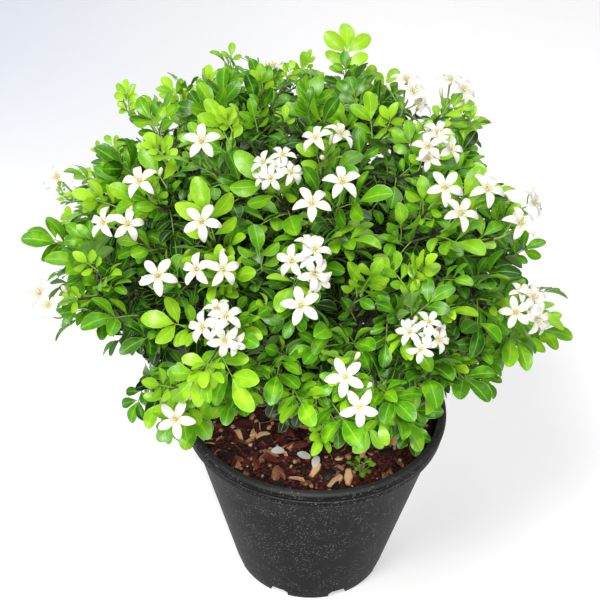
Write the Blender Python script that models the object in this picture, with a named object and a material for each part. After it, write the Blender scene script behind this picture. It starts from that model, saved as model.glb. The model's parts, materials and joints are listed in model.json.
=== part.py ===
"""Orange jasmine bush in a round nursery pot, in metres, +Z up, front towards -Y.

The origin is the middle of the pot's flat underside. A short trunk stands in a plain hole in the growing
mix and forks into woody stems. Each stem end carries one leafy spray, and spray twigs carry the blooms.
"""
import math
import random

import bmesh
import bpy
from mathutils import Matrix, Vector
from mathutils.bvhtree import BVHTree

# Pot
POT_HEIGHT = 0.208
RIM_RADIUS = 0.135
RIM_BAND = 0.017
RIM_LIP = 0.0045
WALL = 0.0026
SHOULDER_RADIUS = 0.1275
FOOT_RADIUS = 0.081
POT_FLOOR = 0.004
POT_SIDES = 32
NOTCHES = 8
NOTCH_WIDTH = 0.020
NOTCH_HEIGHT = 0.009
NOTCH_TURN = math.radians(22.0)

# Growing mix and its husk chips
MIX_LEVEL = 0.184
MIX_RELIEF = 0.0030
MIX_SIDES = 16
MIX_RINGS = (0.108, 0.088, 0.064, 0.040, 0.020)
CHIPS = 13
CHIP_LENGTH = 0.025
CHIP_THICKNESS = 0.0064
CHIP_LIFT = (0.0005, 0.0025)
CHIP_NEAREST = 0.028
CHIP_SPAN = 0.078
CHIP_OUTLINE = ((-0.5, -0.2), (0.1, -0.5), (0.5, -0.1), (0.3, 0.45), (-0.35, 0.4))
TRUNK_HOLE_RADIUS = 0.0086
TRUNK_HOLE_FLOOR = 0.128

# Woody parts
GAP = 0.0003
TRUNK_RADIUS = 0.0080
FORK_HEIGHT = 0.208
MAIN_STEMS = 6
MAIN_STEM_RADIUS = 0.0042
MAIN_STEM_SPREAD = 0.045
MAIN_STEM_RISE = 0.062
LEADER_RISE = 0.085
BRANCH_RADIUS = 0.0027
TWIG_RADIUS = 0.0015
STUB_LENGTH = 0.012

# Crown: an upright ellipsoid that the leaf tips fill
CROWN_CENTRE = Vector((-0.022, 0.0, 0.378))
CROWN_RADII = Vector((0.262, 0.252, 0.184))
SPRAYS = 24
SPRAY_LOWEST = -0.62
HUB_DEPTH = 0.50
FILL_SHOOTS = 36
FILL_LOWEST = -0.72
FILL_CLEARANCE = 0.072
SEED = 41

# Leaves: a leaflet's outline is (share of its length, share of its width, rise)
LEAFLET_LENGTH = 0.037
LEAFLET_SHARE = 0.58
LEAFLET_OUTLINE = ((0.40, -0.36, 0.10), (0.80, -0.47, 0.09), (1.0, 0.0, -0.07),
                   (0.80, 0.47, 0.09), (0.40, 0.36, 0.10))
FIRST_PAIR = 0.013
PAIR_STEP = 0.0145
LEAFLET_FOOT = 0.0024
LEAF_REACH = 0.057
BLADE = 0.0010
RIB_HALF = 0.0009
LEAF_AT_TIP = 0.985
LEAF_NEAR_BLOOM = 0.80
LEAF_LOWER = 0.55
LEAVES_IN_ALL = 40
TWO_PAIRS = 0.4

# Flowers: a petal's outline is (share of the radius, turn in degrees, rise)
PETALS = 5
PETAL_OUTLINE = ((0.20, -36.0, -0.02), (0.62, -21.0, 0.16), (1.0, 0.0, 0.02), (0.62, 21.0, 0.16))
PETAL_BLADE = 0.0009
FLOWER_RADIUS = {1: 0.0165, 2: 0.0150, 3: 0.0145, 4: 0.0120}
FLOWER_SPREAD = {1: 0.0, 2: 0.0150, 3: 0.0172, 4: 0.0180}
STALK_LENGTH = 0.030
STALK_RADIUS = 0.0010

# The photograph's camera: where it stands, how it looks, and its focal length in pixels
PHOTO_EYE = Vector((-0.018, -0.934, 1.014))
PHOTO_PITCH = math.radians(36.0)
PHOTO_ROLL = math.radians(1.6)
PHOTO_FOCAL = 1200.0
PHOTO_MIDDLE = 300.0

# Where each bloom shows in the photograph (pixels), its flowers, and how far it turns to the camera
PHOTO_BLOOMS = (
    (202, 142, 1, 0.7), (140, 182, 1, 0.3), (58, 178, 1, 0.0), (116, 224, 2, 0.6), (202, 222, 1, 0.7),
    (158, 276, 1, 0.7), (210, 270, 2, 0.7), (277, 168, 4, 0.5), (328, 138, 2, 0.1), (342, 183, 1, 0.2),
    (312, 204, 1, 0.3), (307, 262, 3, 0.7), (301, 306, 1, 0.7), (218, 328, 3, 0.6), (345, 377, 1, 0.8),
    (359, 407, 1, 0.3), (176, 419, 1, 0.7), (424, 336, 4, 0.5), (46, 299, 2, 0.0), (438, 144, 3, 0.2),
    (409, 88, 2, 0.0), (456, 87, 2, 0.0), (445, 188, 1, 0.7), (487, 190, 1, 0.4), (460, 214, 1, 0.2),
    (520, 224, 1, 0.4), (528, 310, 3, 0.5),
)
# Where the tips of the longer leafy shoots show in the photograph (pixels)
PHOTO_SHOOTS = (
    (355, 16), (258, 40), (312, 62), (205, 72), (131, 88), (112, 143), (58, 150), (14, 234), (44, 262),
    (88, 318), (122, 338), (145, 398), (166, 452), (214, 428), (488, 128), (519, 262), (580, 350),
    (492, 392), (455, 392), (404, 428), (340, 448), (293, 430), (280, 372), (345, 330),
)
# Blooms on the side that the photograph doesn't show: bearing in degrees, height share, flowers
BACK_BLOOMS = ((60, 0.35, 1), (100, 0.75, 1), (128, 0.20, 2), (20, 0.15, 1))

LEAF_GREEN = (0.13, 0.42, 0.03, 1.0)
PETAL_WHITE = (0.93, 0.92, 0.84, 1.0)
BARK_BROWN = (0.16, 0.12, 0.08, 1.0)
POT_BLACK = (0.025, 0.026, 0.028, 1.0)
MIX_BROWN = (0.16, 0.06, 0.035, 1.0)

UP = Vector((0, 0, 1))


# Shared helpers

def clear_scene():
    for item in list(bpy.data.objects):
        bpy.data.objects.remove(item)


def finish_material(name, colour, roughness, metallic=0.0):
    """A Principled material with one colour."""
    material = bpy.data.materials.new(name)
    material.use_nodes = True
    shader = material.node_tree.nodes["Principled BSDF"]
    shader.inputs["Base Color"].default_value = colour
    shader.inputs["Roughness"].default_value = roughness
    shader.inputs["Metallic"].default_value = metallic
    return material


def add_object(name, corners, faces, material):
    """A mesh object from corners and faces, linked to the scene."""
    mesh = bpy.data.meshes.new(name)
    mesh.from_pydata([tuple(corner) for corner in corners], [], faces)
    mesh.materials.append(material)
    item = bpy.data.objects.new(name, mesh)
    bpy.context.scene.collection.objects.link(item)
    return item


def shape_of(item):
    """An object's own corners and faces."""
    mesh = item.data
    return [corner.co.copy() for corner in mesh.vertices], [tuple(face.vertices) for face in mesh.polygons]


def joined(name, pieces, material):
    """One body: the union of closed pieces, each given as (corners, faces)."""
    base = add_object(name, *pieces[0], material)
    if len(pieces) == 1:
        return base
    group = bpy.data.collections.new(name + "_repeats")
    bpy.context.scene.collection.children.link(group)
    for number, (corners, faces) in enumerate(pieces[1:]):
        item = add_object(f"{name}_repeat_{number}", corners, faces, material)
        bpy.context.scene.collection.objects.unlink(item)
        group.objects.link(item)
    union = base.modifiers.new("union", "BOOLEAN")
    union.operation = "UNION"
    union.solver = "EXACT"
    union.operand_type = "COLLECTION"
    union.collection = group
    graph = bpy.context.evaluated_depsgraph_get()
    mesh = bpy.data.meshes.new_from_object(base.evaluated_get(graph))
    base.modifiers.remove(union)
    base.data = mesh
    for item in list(group.objects):
        bpy.data.objects.remove(item)
    bpy.data.collections.remove(group)
    return base


def swollen(piece, by):
    """A closed piece grown by a distance, to test that others keep clear of it."""
    mesh = bmesh.new()
    corners = [mesh.verts.new(corner) for corner in piece[0]]
    for face in piece[1]:
        mesh.faces.new([corners[index] for index in face])
    mesh.normal_update()
    moved = [corner.co + corner.normal * by for corner in corners]
    mesh.free()
    return moved, piece[1]


def ball_round(corners):
    """The middle of some corners, and how far the furthest lies from it."""
    centre = sum((Vector(corner) for corner in corners), Vector()) / len(corners)
    return centre, max((Vector(corner) - centre).length for corner in corners)


class Room:
    """What already stands in the crown, so that the next piece can be bent clear of it."""

    def __init__(self):
        self.taken = []

    def add(self, piece, owner):
        self.taken.append((BVHTree.FromPolygons(*piece), *ball_round(piece[0]), owner))

    def is_free(self, piece, touching=(), clearance=0.0007):
        """True where the piece, swollen by the clearance, meets nothing but the owners it may touch."""
        grown = swollen(piece, clearance)
        tree = BVHTree.FromPolygons(*grown)
        centre, reach = ball_round(grown[0])
        for other, other_centre, other_reach, owner in self.taken:
            if owner in touching or (centre - other_centre).length > reach + other_reach:
                continue
            if tree.overlap(other):
                return False
        return True


def tube(path, radii, sides):
    """A closed round bar along a path, with a radius at each point."""
    points = [Vector(point) for point in path]
    steps = [(b - a).normalized() for a, b in zip(points, points[1:])]
    along = [steps[0]] + [(a + b).normalized() for a, b in zip(steps, steps[1:])] + [steps[-1]]
    across = along[0].orthogonal().normalized()
    corners = []
    for point, direction, radius in zip(points, along, radii):
        across = (across - direction * across.dot(direction)).normalized()
        other = direction.cross(across)
        for side in range(sides):
            turn = 2 * math.pi * side / sides
            corners.append(point + (across * math.cos(turn) + other * math.sin(turn)) * radius)
    faces = [tuple(reversed(range(sides)))]
    for ring in range(len(points) - 1):
        for side in range(sides):
            a, b = ring * sides + side, ring * sides + (side + 1) % sides
            faces.append((a, b, b + sides, a + sides))
    last = (len(points) - 1) * sides
    faces.append(tuple(range(last, last + sides)))
    return corners, faces


def bend(start, start_direction, end, end_direction, steps, pull=0.38):
    """Points on a smooth curve that leaves start and reaches end in the given directions."""
    reach = (end - start).length * pull
    first, second = start + start_direction * reach, end - end_direction * reach
    points = []
    for step in range(steps + 1):
        t = step / steps
        u = 1 - t
        points.append(start * u**3 + first * 3 * u * u * t + second * 3 * u * t * t + end * t**3)
    return points


def thickened(corners, triangles, thickness):
    """A closed blade from its upper sheet: the lower sheet is split alike and lies a thickness under it."""
    count = len(corners)
    solid = [Vector(corner) for corner in corners]
    solid += [corner - UP * thickness for corner in solid[:count]]
    edges = {(a, b) for face in triangles for a, b in zip(face, face[1:] + face[:1])}
    faces = list(triangles) + [tuple(index + count for index in reversed(face)) for face in triangles]
    faces += [(b, a, a + count, b + count) for a, b in sorted(edges) if (b, a) not in edges]
    return solid, faces


def placed(piece, origin, ahead, upper):
    """A piece turned so that its +X points ahead and its +Z as near as it can to upper."""
    x = ahead.normalized()
    z = (upper - x * upper.dot(x)).normalized()
    turn = Matrix((x, z.cross(x), z)).transposed()
    return [origin + turn @ Vector(corner) for corner in piece[0]], piece[1]


def prism(near, far):
    """A closed bar between two alike rings of corners."""
    count = len(near)
    faces = [tuple(reversed(range(count))), tuple(range(count, 2 * count))]
    faces += [(i, (i + 1) % count, (i + 1) % count + count, i + count) for i in range(count)]
    return near + far, faces


# Pot

def turned_shell(name, profile, sides, material):
    """A body turned about the Z axis from a profile of (radius, height) points, its outer side going up."""
    rings, corners = [], []
    for radius, height in profile:
        count = sides if radius > 0 else 1
        rings.append(range(len(corners), len(corners) + count))
        for side in range(count):
            turn = 2 * math.pi * side / sides
            corners.append(Vector((radius * math.cos(turn), radius * math.sin(turn), height)))
    faces = []
    for lower, upper in zip(rings, rings[1:]):
        for side in range(sides):
            here, after = side, (side + 1) % sides
            around = [lower[here % len(lower)], lower[after % len(lower)],
                      upper[after % len(upper)], upper[here % len(upper)]]
            faces.append(tuple(dict.fromkeys(around)))
    return add_object(name, corners, faces, material)


def wall_radius(height):
    """Outer radius of the pot's tapered wall at a height."""
    share = height / (POT_HEIGHT - RIM_BAND)
    return FOOT_RADIUS + (SHOULDER_RADIUS - FOOT_RADIUS) * share


def make_pot(material):
    """A thin tapered pot with a flat underside, a banded rim and drainage notches in its foot."""
    top = POT_HEIGHT
    shoulder = top - RIM_BAND
    profile = [
        (0.0, 0.0),
        (FOOT_RADIUS, 0.0),
        (wall_radius(shoulder), shoulder),
        (RIM_RADIUS - 0.0022, shoulder - 0.0008),
        (RIM_RADIUS - 0.0014, top - RIM_BAND * 0.46),
        (RIM_RADIUS, top - RIM_BAND * 0.36),
        (RIM_RADIUS - 0.0006, top - 0.0016),
        (RIM_RADIUS - 0.0030, top),
        (RIM_RADIUS - RIM_LIP - 0.0042, top - 0.0012),
        (wall_radius(shoulder) - WALL, shoulder),
        (wall_radius(POT_FLOOR) - WALL, POT_FLOOR),
        (0.0, POT_FLOOR),
    ]
    pot = turned_shell("pot", profile, POT_SIDES, material)
    for number in range(NOTCHES):
        cutter = add_object(f"notch_cutter_{number}", *notch_cutter(number), material)
        cutter.hide_render = True
        cutter.display_type = "WIRE"
        cut = pot.modifiers.new(f"notch_{number}", "BOOLEAN")
        cut.operation = "DIFFERENCE"
        cut.solver = "EXACT"
        cut.object = cutter
    return pot


def notch_cutter(number):
    """A block that cuts one drainage notch through the corner of the foot."""
    turn = NOTCH_TURN + 2 * math.pi * number / NOTCHES
    half, height, below = NOTCH_WIDTH / 2, NOTCH_HEIGHT, -NOTCH_HEIGHT / 2
    outline = ((-half, below), (half, below), (half, height * 0.6), (half * 0.6, height),
               (-half * 0.6, height), (-half, height * 0.6))
    ahead = Vector((math.cos(turn), math.sin(turn), 0))
    across = Vector((-math.sin(turn), math.cos(turn), 0))
    inner, outer = FOOT_RADIUS - 0.014, FOOT_RADIUS + 0.012
    return prism(*([ahead * reach + across * y + UP * z for y, z in outline] for reach in (inner, outer)))


# Growing mix

def make_mix(material, rng):
    """The growing mix: a turned body with a plain hole for the trunk, a lumpy top and husk chips fused on."""
    bottom = POT_FLOOR + GAP
    edge = MIX_LEVEL - MIX_RELIEF
    profile = [(0.0, bottom)]
    profile += [(wall_radius(height) - WALL - GAP, height) for height in (bottom, edge)]
    profile += [(radius, MIX_LEVEL) for radius in MIX_RINGS]
    profile += [(TRUNK_HOLE_RADIUS, height) for height in (MIX_LEVEL, TRUNK_HOLE_FLOOR)]
    profile += [(0.0, TRUNK_HOLE_FLOOR)]
    mix = turned_shell("growing_mix", profile, MIX_SIDES, material)
    for corner in mix.data.vertices:
        if abs(corner.co.z - MIX_LEVEL) < GAP and corner.co.xy.length > 2 * TRUNK_HOLE_RADIUS:
            corner.co.z += rng.uniform(-MIX_RELIEF, MIX_RELIEF)
    pieces = [shape_of(mix)]
    bpy.data.objects.remove(mix)
    for number in range(CHIPS):
        turn = number * math.pi * (3 - math.sqrt(5))
        radius = CHIP_NEAREST + CHIP_SPAN * math.sqrt((number + 0.5) / CHIPS)
        pieces.append(husk_chip(Vector((radius * math.cos(turn), radius * math.sin(turn), MIX_LEVEL)), rng))
    return joined("growing_mix", pieces, material)


def husk_chip(place, rng):
    """One flake of husk: a thin five-sided slab, tilted, with its lower side in the mix."""
    length = CHIP_LENGTH * rng.uniform(0.7, 1.1)
    width = length * rng.uniform(0.38, 0.55)
    heading = rng.uniform(0, 2 * math.pi)
    ahead = Vector((math.cos(heading), math.sin(heading), rng.uniform(-0.35, 0.35)))
    upper = Vector((rng.uniform(-0.3, 0.3), rng.uniform(-0.3, 0.3), 1.0))
    lift = UP * rng.uniform(*CHIP_LIFT)
    slab = prism(*([Vector((x * length, y * width, z * CHIP_THICKNESS)) for x, y in CHIP_OUTLINE]
                   for z in (-0.5, 0.5)))
    return placed(slab, place + lift, ahead, upper)


# Where the crown's tips are

def photo_ray(pixel):
    """Direction from the photograph's camera through one of its pixels."""
    forward = Vector((0, math.cos(PHOTO_PITCH), -math.sin(PHOTO_PITCH)))
    level = Vector((1, 0, 0))
    above = level.cross(forward)
    right = level * math.cos(PHOTO_ROLL) + above * math.sin(PHOTO_ROLL)
    up = above * math.cos(PHOTO_ROLL) - level * math.sin(PHOTO_ROLL)
    x, y = (pixel[0] - PHOTO_MIDDLE) / PHOTO_FOCAL, (PHOTO_MIDDLE - pixel[1]) / PHOTO_FOCAL
    return (forward + right * x + up * y).normalized()


def crown_share(point):
    """The point in crown units: length 1 lies on the crown's surface."""
    offset = point - CROWN_CENTRE
    return Vector(offset[i] / CROWN_RADII[i] for i in range(3))


def crown_place(share):
    return CROWN_CENTRE + Vector(share[i] * CROWN_RADII[i] for i in range(3))


def crown_outward(point):
    """The crown surface's outward direction nearest to a point."""
    share = crown_share(point)
    return Vector(share[i] / CROWN_RADII[i] for i in range(3)).normalized()


def seen_at(pixel):
    """Where a pixel's ray meets the crown, or passes nearest to its middle if it misses."""
    ray = photo_ray(pixel)
    start, step = crown_share(PHOTO_EYE), crown_share(CROWN_CENTRE + ray)
    a, b, c = step.dot(step), start.dot(step), start.dot(start) - 1
    inside = b * b - a * c
    travel = (-b - math.sqrt(inside)) / a if inside > 0 else -b / a
    return PHOTO_EYE + ray * travel


def even_direction(number, count, lowest):
    """The number-th of count even directions over a ball, from straight up down to a lowest height."""
    height = 1 - (1 - lowest) * (number + 0.5) / count
    turn = number * math.pi * (3 - math.sqrt(5))
    level = math.sqrt(max(0.0, 1 - height * height))
    return Vector((level * math.cos(turn), level * math.sin(turn), height))


class Tip:
    """The end of one twig: a bloom with some flowers, or a leafy shoot with none."""

    def __init__(self, place, flowers=0, to_camera=0.0):
        self.place = place
        self.flowers = flowers
        self.outward = crown_outward(place)
        facing = self.outward.lerp((PHOTO_EYE - place).normalized(), to_camera)
        self.facing = (facing + UP * 0.15).normalized()
        self.end = place - self.outward * (STALK_LENGTH if flowers else LEAF_REACH)
        self.twig = None
        self.twig_name = ""


def crown_tips():
    """Every twig end: blooms and shoots where the photograph shows them, then even filling all round."""
    tips = [Tip(seen_at((x, y)), flowers, turn) for x, y, flowers, turn in PHOTO_BLOOMS]
    for bearing, height, flowers in BACK_BLOOMS:
        turn = math.radians(bearing)
        level = math.sqrt(1 - height * height)
        place = crown_place(Vector((level * math.cos(turn), level * math.sin(turn), height)))
        tips.append(Tip(place, flowers))
    tips += [Tip(seen_at(pixel)) for pixel in PHOTO_SHOOTS]
    for number in range(FILL_SHOOTS):
        place = crown_place(even_direction(number, FILL_SHOOTS, FILL_LOWEST))
        if all((tip.place - place).length > FILL_CLEARANCE for tip in tips):
            tips.append(Tip(place))
    return tips


# Stems and twigs

def grow_wood(tips, room):
    """The woody stems, and for each spray its hub, its outward direction and the tips that it carries."""
    hubs = [crown_place(even_direction(number, SPRAYS, SPRAY_LOWEST) * HUB_DEPTH) for number in range(SPRAYS)]
    carried = [[] for _ in hubs]
    for tip in tips:
        aim = crown_share(tip.place).normalized()
        nearest = max(range(SPRAYS), key=lambda k: aim.dot(crown_share(hubs[k]).normalized()))
        carried[nearest].append(tip)
    wood = [tube([UP * (TRUNK_HOLE_FLOOR + GAP), UP * MIX_LEVEL, UP * (FORK_HEIGHT + TRUNK_RADIUS)],
                 [TRUNK_RADIUS * 0.7, TRUNK_RADIUS, TRUNK_RADIUS * 0.85], 7)]
    stem_ends = []
    for number in range(MAIN_STEMS + 1):
        turn = 2 * math.pi * (number + 0.3) / MAIN_STEMS
        out = Vector((math.cos(turn), math.sin(turn), 0)) if number < MAIN_STEMS else Vector()
        rise = MAIN_STEM_RISE if number < MAIN_STEMS else LEADER_RISE
        start = UP * FORK_HEIGHT + out * 0.002
        end = UP * (FORK_HEIGHT + rise) + out * MAIN_STEM_SPREAD
        lean = (out * 0.9 + UP).normalized()
        wood.append(tube(bend(start, UP, end, lean, 3),
                         [MAIN_STEM_RADIUS * share for share in (1.1, 1.0, 0.92, 0.85)], 5))
        stem_ends.append((end - lean * 0.003, lean))
    sprays = []
    for hub, own in zip(hubs, carried):
        if not own:
            continue
        base, lean = min(stem_ends, key=lambda pair: (pair[0] - hub).length)
        outward = (hub - base).normalized().lerp(crown_outward(hub), 0.4).normalized()
        path = bend(base, lean, hub, outward, 2)
        wood.append(tube(path, [BRANCH_RADIUS * share for share in (1.15, 0.95, 0.8)], 4))
        sprays.append({"hub": hub, "outward": (path[-1] - path[-2]).normalized(), "tips": own})
    for piece in wood:
        room.add(piece, "wood")
    return wood, sprays


def grow_twigs(number, spray, room):
    """The spray's own stub on its stem, and one twig from it to each of its tips."""
    hub, outward = spray["hub"], spray["outward"]
    own = [f"stub {number}"]
    stub = tube([hub + outward * GAP, hub + outward * STUB_LENGTH], [TWIG_RADIUS * 1.5, TWIG_RADIUS * 1.3], 4)
    room.add(stub, own[0])
    spray["pieces"] = [stub]
    start = hub + outward * STUB_LENGTH / 2
    for tip in spray["tips"]:
        aim = (tip.end - start).normalized()
        side = aim.orthogonal().normalized()
        steps = 2 if (tip.end - start).length < 0.07 else 3
        for bow in (0.0, 0.36, -0.36, 0.72, -0.72):
            leave = (outward * 0.5 + aim + side * bow).normalized()
            path = bend(start, leave, tip.end, tip.outward.lerp(aim, 0.4).normalized(), steps)
            radii = [TWIG_RADIUS * (1.15 - 0.25 * step / steps) for step in range(steps + 1)]
            twig = tube(path, radii, 3)
            if room.is_free(twig, touching=own):
                break
        else:
            continue
        tip.twig = path
        tip.twig_name = f"twig {number}.{len(own)}"
        own.append(tip.twig_name)
        room.add(twig, tip.twig_name)
        spray["pieces"].append(twig)


# Blooms

def flower(place, facing, petal_up, radius, stalk):
    """An open flower and its stalk as one body: pointed petals round a heart that narrows to the stalk."""
    aside = facing.cross(petal_up)
    top, notches = [], []
    for petal in range(PETALS):
        turn = 2 * math.pi * petal / PETALS
        for reach, side, rise in PETAL_OUTLINE:
            angle = turn + math.radians(side)
            level = petal_up * math.cos(angle) + aside * math.sin(angle)
            top.append(place + (level * reach + facing * rise) * radius)
            if side == PETAL_OUTLINE[0][1]:
                notches.append(level)
    count, step = len(top), len(PETAL_OUTLINE)
    corners = top + [corner - facing * PETAL_BLADE for corner in top]
    petals = []
    for first in range(0, count, step):
        right, shoulder, tip, far_shoulder, left = (index % count for index in range(first, first + step + 1))
        petals += [(right, shoulder, tip), (right, tip, left), (tip, far_shoulder, left)]
    faces = petals + [tuple(index + count for index in reversed(face)) for face in petals]
    faces += [((a + 1) % count, a, a + count, (a + 1) % count + count) for a in range(count)]
    faces.append(tuple(range(0, count, step)))
    ring = list(range(count, 2 * count, step))
    axes = [(a - b).normalized() for a, b in zip([place] + stalk, stalk)]
    axes = [(a + b).normalized() for a, b in zip(axes, axes[1:])] + axes[-1:]
    for point, axis in zip(stalk, axes):
        after = list(range(len(corners), len(corners) + PETALS))
        for level in notches:
            corners.append(point + (level - axis * level.dot(axis)).normalized() * STALK_RADIUS)
        faces += [(ring[k - 1], ring[k - 2], after[k - 2], after[k - 1]) for k in range(PETALS)]
        ring = after
    faces.append(tuple(reversed(ring)))
    return corners, faces


def bloom_layout(tip):
    """The place and the facing of each flower in a bloom."""
    spread = FLOWER_SPREAD[tip.flowers]
    across = tip.facing.cross(UP).normalized()
    above = across.cross(tip.facing)
    flowers = []
    for number in range(tip.flowers):
        turn = 2 * math.pi * number / tip.flowers + (0.35 if tip.flowers == 4 else 0.0)
        aside = across * math.cos(turn) + above * math.sin(turn) * 0.9
        lift = tip.facing * 0.003 * (number % 2)
        facing = (tip.facing + aside * 0.45).normalized() if spread else tip.facing
        flowers.append((tip.place + aside * spread + lift, facing))
    return flowers


def turned_clear(place, facing, radius, stalk, room, rng):
    """A flower at its place, turned about its own axis until its petals pass between its neighbours'."""
    above = UP if abs(facing.z) < 0.8 else Vector((0, -1, 0))
    petal_up = (above - facing * above.dot(facing)).normalized()
    for _attempt in range(12):
        turn = Matrix.Rotation(math.radians(rng.uniform(-36, 36)), 3, facing)
        piece = flower(place, facing, turn @ petal_up, radius, [])
        if room.is_free(piece, clearance=0.0002):
            break
    room.add(piece, "flower")
    return flower(place, facing, turn @ petal_up, radius, stalk)


def grow_bloom(tip, owner, room, rng):
    """A stalk on the twig's end that carries one flower, or forks to each flower of the bloom."""
    ahead = (tip.twig[-1] - tip.twig[-2]).normalized()
    foot = tip.twig[-1] + ahead * GAP
    neck = foot + ahead * 0.004
    fork = neck.lerp(tip.place - tip.facing * 0.012, 0.35)
    start = fork - (fork - neck).normalized() * STALK_RADIUS
    radius = FLOWER_RADIUS[tip.flowers]
    pieces = []
    for place, facing in bloom_layout(tip):
        stalk = [neck, foot] if tip.flowers == 1 else [start]
        pieces.append(turned_clear(place, facing, radius, stalk, room, rng))
    if tip.flowers > 1:
        pieces.append(tube([foot, neck, fork], [STALK_RADIUS * share for share in (1.1, 1.2, 1.1)], 3))
    for piece in pieces:
        room.add(piece, owner)
    return pieces


# Leaves

def leaflet(corners, triangles, right, left, direction, length):
    """Adds one obovate leaflet to a sheet, grown from the rib between its right and left base corners."""
    origin = (corners[right] + corners[left]) / 2
    width = length * LEAFLET_SHARE
    along = direction.normalized()
    across = UP.cross(along).normalized()
    normal = along.cross(across)
    first = len(corners)
    for reach, side, rise in LEAFLET_OUTLINE:
        corners.append(origin + along * reach * length + across * side * width + normal * rise * width)
    right_low, right_high, tip, left_high, left_low = range(first, first + 5)
    triangles += [(right, right_low, right_high), (right, right_high, tip), (right, tip, left),
                  (left, tip, left_high), (left, left_high, left_low)]


def pinnate_leaf(scale, pairs, droop):
    """One pinnate leaf as a thin arched blade cut to its rib. +X runs along the rib, +Z is its upper side."""
    stations = [0.0]
    for pair in range(pairs):
        foot = (FIRST_PAIR + PAIR_STEP * pair) * scale
        stations += [foot, foot + LEAFLET_FOOT * scale]
    whole = stations[-1]
    corners = []
    for x in stations:
        z = -droop * (x / whole) ** 2 * whole
        corners += [Vector((x, -RIB_HALF, z)), Vector((x, RIB_HALF, z))]
    triangles = []
    for right in range(0, len(corners) - 2, 2):
        triangles += [(right, right + 2, right + 3), (right, right + 3, right + 1)]
    for pair in range(pairs):
        low = 2 + 4 * pair
        size = LEAFLET_LENGTH * scale * (0.72 + 0.32 * pair / pairs)
        spread = math.radians(62 - 12 * pair)
        rise = 0.22 - droop * 0.5
        for side, right, left in ((1, low + 3, low + 1), (-1, low, low + 2)):
            direction = Vector((math.cos(spread), side * math.sin(spread), rise))
            leaflet(corners, triangles, right, left, direction, size)
    end = 2 * (len(stations) - 1)
    leaflet(corners, triangles, end, end + 1, Vector((1, 0, -1.6 * droop)), LEAFLET_LENGTH * scale)
    return thickened(corners, triangles, BLADE)


def along_path(path, share):
    """The point at a share of a path's length, and the path's direction there."""
    lengths = [(b - a).length for a, b in zip(path, path[1:])]
    left = share * sum(lengths)
    for a, b, length in zip(path, path[1:], lengths):
        if left <= length:
            return a.lerp(b, left / length), (b - a).normalized()
        left -= length
    return path[-1].copy(), (path[-1] - path[-2]).normalized()


def leaf_on_twig(tip, share, rng):
    """A candidate leaf from a twig: at the tip it reaches for the tip's place, lower down it stands aside."""
    root, ahead = along_path(tip.twig, share)
    side = Matrix.Rotation(rng.uniform(0, 2 * math.pi), 3, ahead) @ ahead.orthogonal().normalized()
    at_tip = share == LEAF_AT_TIP
    towards = (tip.place - root).normalized() + side * 0.22 if at_tip else ahead + side * 1.1
    direction = (towards + UP * 0.10).normalized()
    upper = UP * 0.75 + tip.outward * 0.75 + Vector([rng.uniform(-0.25, 0.25) for _ in range(3)])
    if abs(upper.normalized().dot(direction)) > 0.9:
        upper += (PHOTO_EYE - root).normalized()
    pairs = 2 if at_tip or rng.random() < TWO_PAIRS else 1
    piece = pinnate_leaf(rng.uniform(0.86, 1.06), pairs, rng.uniform(0.05, 0.22))
    return placed(piece, root - direction * GAP, direction, upper)


def grow_leaves(sprays, room, rng):
    """Leaves at the shoots' tips first, then further down the twigs, each one clear of everything else."""
    stations = []
    for number, spray in enumerate(sprays):
        for tip in spray["tips"]:
            if tip.twig is None:
                continue
            rank, share = (1, LEAF_NEAR_BLOOM) if tip.flowers else (0, LEAF_AT_TIP)
            stations += [(rank, number, tip, share), (2, number, tip, LEAF_LOWER)]
    rng.shuffle(stations)
    stations.sort(key=lambda entry: entry[0])
    grown = 0
    for _, number, tip, share in stations:
        if grown >= LEAVES_IN_ALL:
            break
        for _attempt in range(14):
            piece = leaf_on_twig(tip, share, rng)
            if room.is_free(piece, touching=(tip.twig_name,)):
                room.add(piece, f"leaf {grown}")
                sprays[number]["pieces"].append(piece)
                grown += 1
                break


def main():
    clear_scene()
    rng = random.Random(SEED)
    leaf = finish_material("leaf", LEAF_GREEN, 0.35)
    petal = finish_material("petal", PETAL_WHITE, 0.45)
    bark = finish_material("bark", BARK_BROWN, 0.85)
    plastic = finish_material("pot_plastic", POT_BLACK, 0.55)
    husk = finish_material("husk", MIX_BROWN, 0.9)
    room = Room()
    for item in (make_pot(plastic), make_mix(husk, rng)):
        room.add(shape_of(item), item.name)
    wood, sprays = grow_wood(crown_tips(), room)
    joined("woody_stems", wood, bark)
    for number, spray in enumerate(sprays):
        grow_twigs(number, spray, room)
    blooms = 0
    for spray in sprays:
        for tip in spray["tips"]:
            if tip.flowers and tip.twig:
                blooms += 1
                name = f"bloom_{blooms:02d}"
                joined(name, grow_bloom(tip, name, room, rng), petal)
    grow_leaves(sprays, room, rng)
    for number, spray in enumerate(sprays):
        joined(f"spray_{number + 1:02d}", spray["pieces"], leaf)


main()
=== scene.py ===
"""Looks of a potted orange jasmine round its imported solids: leaves, blooms, stems, husk mix, pot and stage.

The crown grows here by the same seeded rule as the solids, so each fine leaf, twig and flower stands where
its solid one does. More leafy shoots then fill the crown between them.
"""
import functools
import json
import math
import random

import bmesh
import bpy
import numpy as np
from bpy.props import FloatProperty, FloatVectorProperty, IntProperty, PointerProperty
from mathutils import Matrix, Vector, noise
from mathutils.bvhtree import BVHTree

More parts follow.
